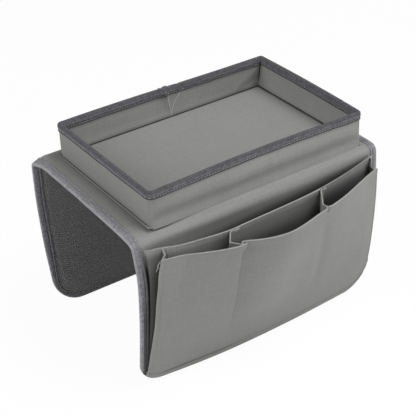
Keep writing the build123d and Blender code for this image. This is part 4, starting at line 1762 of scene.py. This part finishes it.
def frontThickness(c):
    side = min(us[c] + 1, 1 - us[c]) * mouthWidth / 2
    return mix(pocket["turnedSide"], pocket["cloth"], smooth((side - 2) / 2))


frontPanel = sheetPiece("pocket_front_cloth", frontGrid, frontThickness, "coverCloth", toFront, "edgeHighlightCloth")
frontHem = panelHem("pocket_front_fold", frontGrid, pocket["frontHem"])

# closing the pocket would turn the front panel back about this hinge and flatten it in front of the back
# panel; only the hinge is worked out here
hinge = (0, (flapFace(0, pocketFootZ).y - pocket["stand"]) * mm, pocketFootZ * mm)


def onPocketFront(piece, *nodes):
    fit(piece, "pocket_front", *nodes)
    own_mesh(piece)


onPocketFront(frontPanel, "pocket_front_panel")
onPocketFront(frontHem, "pocket_front_hem")
panelWidth = (pocket["lowRight"] - pocket["lowLeft"]) * 1.1


def panelStitches(name, placeAt, length):
    runs = stitchRuns(placeAt, length, pocket["thread"])
    onPocketFront(stitchPiece(name, runs, "seamThread", pocket["thread"]))


def alongMouth(distance, lift):
    return panelPoint(2 * distance / mouthWidth - 1, 1 - pocket["mouthSeam"] / panelHeight, lift - 0.1)


def alongSide(end):
    inset = 2 * pocket["sideSeam"] / mouthWidth

    def placeAt(distance, lift):
        return panelPoint(end * (1 - inset), clamp(distance / panelHeight), lift - 0.1)

    return placeAt


def alongFoot(distance, lift):
    return panelPoint(2 * distance / panelWidth - 1, pocket["footSeam"] / panelHeight, lift - 0.1)


panelStitches("pocket_mouth_stitches", alongMouth, mouthWidth - 3)
panelStitches("pocket_left_stitches", alongSide(-1), panelHeight - 2)
panelStitches("pocket_right_stitches", alongSide(1), panelHeight - 2)
panelStitches("pocket_foot_stitches", alongFoot, panelWidth - 3)


def alongBackMouth(distance, lift):
    x = distance - edgeX + binding["arm"]
    z = backMouthZ + backRise(x) - pocket["backSeam"]
    return Vector((x, backFaceY(x, z) + pocket["seamDepth"] * 0.2 - lift, z))


backRow = stitchRuns(alongBackMouth, 2 * (edgeX - binding["arm"]) - 4, pocket["thread"], 2.0)
fit(stitchPiece("pocket_back_stitches", backRow, "seamThread", pocket["thread"]), "front_flap")


# Gussets let the mouth open: each is a strip folded in a V between the two panels

gusset = {
    "thick": 1.1,
    # it starts at this share of the height, and is this share of a rectangle's cloth
    "low": 0.12,
    "areaShare": 0.62,
    # name: (node, x on the back panel, x of the fold, share of the way to the front, x on the front panel,
    # how far its top lies under the mouth, roundness of the fold)
    "folds": {
        "pocket_left_gusset": ("pocket_gusset_left", -137.5, -137.5, 0.62, -143.6, 0.7, 0.4),
        "pocket_right_gusset": ("pocket_gusset_right", 150.5, 144.5, 0.5, 146.5, 1.0, 0.12),
        "pocket_left_divider": ("pocket_divider_left", -61.6, -71.5, 0.56, -60.4, 0.7, 0.12),
        "pocket_right_divider": ("pocket_divider_right", 65.9, 53, 0.78, 56, 0.7, 0.12),
    },
}


def panelFaceY(x, z):
    left, right = panelSides(z)
    v = clamp((z - pocketFootZ) / panelHeight)
    u = clamp((x - pocket["drift"] * (1 - v) * 0.9 - left) / (right - left)) * 2 - 1
    mouthX = panelMouthX(u)
    reach = panelReach(mouthX, v) * panelOpening(z) + panelRelief(x, z, v, mouthX)
    return flapFace(x, z).y - pocket["stand"] - reach


def gussetGrid(backX, foldX, foldShare, frontX, under, turn):
    # rows from the sewn foot up to the mouth, each from the back panel round the fold to the front panel
    grid = []
    for k in range(21):
        v = mix(gusset["low"], 1, k / 20)
        nearZ = mix(pocketFootZ, backMouthZ + backRise(backX) - under, v)
        farZ = mix(pocketFootZ, frontMouthZ - under, v)
        drift = pocket["drift"] * (1 - v) * (0.8 if abs(frontX) < 100 else 0.2)
        near = Vector((backX + drift, backFaceY(backX + drift, nearZ) - 0.5, nearZ))
        behind = 1.6 if abs(frontX) > 100 else 0.4
        far = Vector((frontX + drift, panelFaceY(frontX + drift, farZ) + behind, farZ))
        lean = foldX - mix(backX, frontX, foldShare)
        fold = near.lerp(far, foldShare) + Vector((lean * (0.3 + 0.7 * v**1.3), 0, 0))
        run = smoothLine([near, near.lerp(fold, 0.5), fold.lerp(near, turn), fold, fold.lerp(far, turn),
                          far.lerp(fold, 0.5), far], 4)
        # sewn-down ends lie along the two panels, away from the fold
        side = 1 if foldX < backX else -1
        if abs(frontX) > 100:
            side = -1 if frontX > 0 else 1
        lapNear = [near + Vector((side * w, 0.15, 0)) for w in (5, 2.5)]
        lapFar = [far + Vector((side * w, -0.1, 0)) for w in (2.5, 5)]
        grid.append(lapNear + run + lapFar)
    return grid


for name, (node, backX, *shape) in gusset["folds"].items():
    grid = gussetGrid(backX, *shape)
    # the right gusset is painted dark as shade, the left one gets a lighter painted shade
    finish, edge = "pocketShadeCloth", "edgeHighlightCloth"
    if backX > 100:
        finish, edge = "seamShade", "seamShade"
    elif backX < -100:
        finish = "cornerShadeCloth"
    piece = sheetPiece(name, grid, gusset["thick"], finish, edge=edge)
    fit(piece, "front_flap", node)
    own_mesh(piece)
    width = lengthsAlong(grid[-1])[-1]


# Bar tacks that hold the dividers' tops, and a loose thread end

tacks = {
    "thread": dict(width=0.8, proud=0.25, sunk=0.1),
    # (x of the middle, depth under the back mouth, width, height, turns)
    "places": [(-54, 4.0, 11, 4.2, 6), (71, 3.6, 9, 4.0, 5)],
    "slant": 0.18,
    # (x, height over the front mouth, stand off the panel)
    "loose": [(-146.8, -0.6, 0.8), (-149.4, -2.5, 2.0), (-151.2, -3.6, 2.6), (-150.0, -5.2, 2.4),
              (-151.8, -7.4, 2.2), (-153.0, -9.5, 2.0)],
    "looseWidth": 0.24,
}
for k, (tackX, under, wide, high, turns) in enumerate(tacks["places"]):
    points = []
    for step in range(2 * turns + 1):
        across = wide * (step / (2 * turns) - 0.5)
        x = tackX + across
        z = backMouthZ - under + (high / 2 if step % 2 else -high / 2) + tacks["slant"] * across
        points.append(Vector((x, backFaceY(x, z) - 0.1, z)))
    runs = [(a, b, toFront) for a, b in zip(points, points[1:])]
    fit(stitchPiece(f"bar_tack_{k + 1}", runs, "looseThread", tacks["thread"]), "front_flap")

loosePoints = []
for x, rise, out in tacks["loose"]:
    z = frontMouthZ + rise
    loosePoints.append(Vector((x, panelFaceY(x, z) - out, z)))
loosePath = smoothLine(loosePoints, 5)
looseRings = []
for k, p in enumerate(loosePath):
    size = tacks["looseWidth"] * (0.6 if k == len(loosePath) - 1 else 1)
    looseRings.append([p + Vector((cos(a), 0.4 * sin(a), sin(a))) * size for a in roundTurns(6)])
onPocketFront(sweptPiece("loose_thread", looseRings, "looseThread"))


# Camera, lights and floor

camera = {
    "turn": -33.72,
    "rise": 32.6,
    "roll": -2.2,
    "distance": 1386.57,
    "target": (3.468, 0.0, -81.07),
    "lens": 100.62,
    "sensor": 36.0,
}


def addCamera():
    turn, rise, roll = (radians(camera[k]) for k in ("turn", "rise", "roll"))
    back = Vector((sin(turn) * cos(rise), -cos(turn) * cos(rise), sin(rise)))
    right = (-back).cross(Vector((0, 0, 1))).normalized()
    up = right.cross(-back)
    rolledRight = right * cos(roll) + up * sin(roll)
    rolledUp = up * cos(roll) - right * sin(roll)
    x, y, z = camera["target"]
    target = Vector((x, middleY + y, topZ + z))
    data = bpy.data.cameras.new("photoCamera")
    data.lens = camera["lens"]
    data.sensor_width = camera["sensor"]
    data.clip_end = 20
    eye = bpy.data.objects.new("photoCamera", data)
    axes = Matrix((rolledRight, rolledUp, back)).transposed().to_4x4()
    eye.matrix_world = Matrix.Translation((target + back * camera["distance"]) * mm) @ axes
    bpy.context.scene.collection.objects.link(eye)
    bpy.context.scene.camera = eye


studio = {
    "skyLight": 0.05,
    "lamps": {
        # name: (place, size, power), all in metres and watts
        "frontSoft": ((1.08, -1.70, 0.63), 1.3, 16.0),
        "highSoft": ((0.60, -0.64, 2.02), 1.3, 36.5),
        "leftSoft": ((-1.82, 0.03, 1.17), 1.3, 25.0),
    },
    "floorSize": 8.0,
    "floorWhite": 0.96,
}


def whiteForCamera(tree, ray):
    # one where a camera, mirror or glass looks straight at it
    seen = addMath(tree, "MAXIMUM", ray.outputs["Is Camera Ray"], ray.outputs["Is Glossy Ray"])
    return addMath(tree, "MAXIMUM", seen, ray.outputs["Is Transmission Ray"])


def addStudio():
    world = bpy.data.worlds.new("studio")
    bpy.context.scene.world = world
    world.use_nodes = True
    tree = world.node_tree
    background = tree.nodes["Background"]
    setInputs(background, {"Color": (1, 1, 1, 1)})
    ray = tree.nodes.new("ShaderNodeLightPath")
    strength = addMath(tree, "MAXIMUM", whiteForCamera(tree, ray), studio["skyLight"])
    tree.links.new(strength, background.inputs["Strength"])

    aim = Vector((0, middleY, topZ / 2)) * mm
    for name, (place, size, power) in studio["lamps"].items():
        data = bpy.data.lights.new(name, "AREA")
        data.size = size
        data.energy = power
        lamp = bpy.data.objects.new(name, data)
        lamp.location = place
        lamp.rotation_euler = (aim - Vector(place)).to_track_quat("-Z", "Y").to_euler()
        bpy.context.scene.collection.objects.link(lamp)

    half = studio["floorSize"] / 2
    mesh = bpy.data.meshes.new("paleFloor")
    corners = [(-half, -half, 0), (half, -half, 0), (half, half, 0), (-half, half, 0)]
    mesh.from_pydata(corners, [], [(0, 1, 2, 3)])
    floor = bpy.data.objects.new("paleFloor", mesh)
    floor.location.z = -0.0005
    bpy.context.scene.collection.objects.link(floor)
    paint = bpy.data.materials.new("paleFloor")
    paint.use_nodes = True
    tree = paint.node_tree
    shader = tree.nodes["Principled BSDF"]
    setInputs(shader, {"Base Color": (0.9, 0.9, 0.9, 1), "Roughness": 0.9, "Specular IOR Level": 0.0})
    glow = tree.nodes.new("ShaderNodeEmission")
    setInputs(glow, {"Color": (1, 1, 1, 1)})
    blendNode = tree.nodes.new("ShaderNodeMixShader")
    ray = tree.nodes.new("ShaderNodeLightPath")
    amount = addMath(tree, "MULTIPLY", whiteForCamera(tree, ray), studio["floorWhite"])
    tree.links.new(amount, blendNode.inputs[0])
    tree.links.new(shader.outputs[0], blendNode.inputs[1])
    tree.links.new(glow.outputs[0], blendNode.inputs[2])
    tree.links.new(blendNode.outputs[0], tree.nodes["Material Output"].inputs["Surface"])
    mesh.materials.append(paint)
    bpy.context.scene.view_settings.view_transform = "Standard"


print("camera and studio")
addCamera()
addStudio()

print("done")
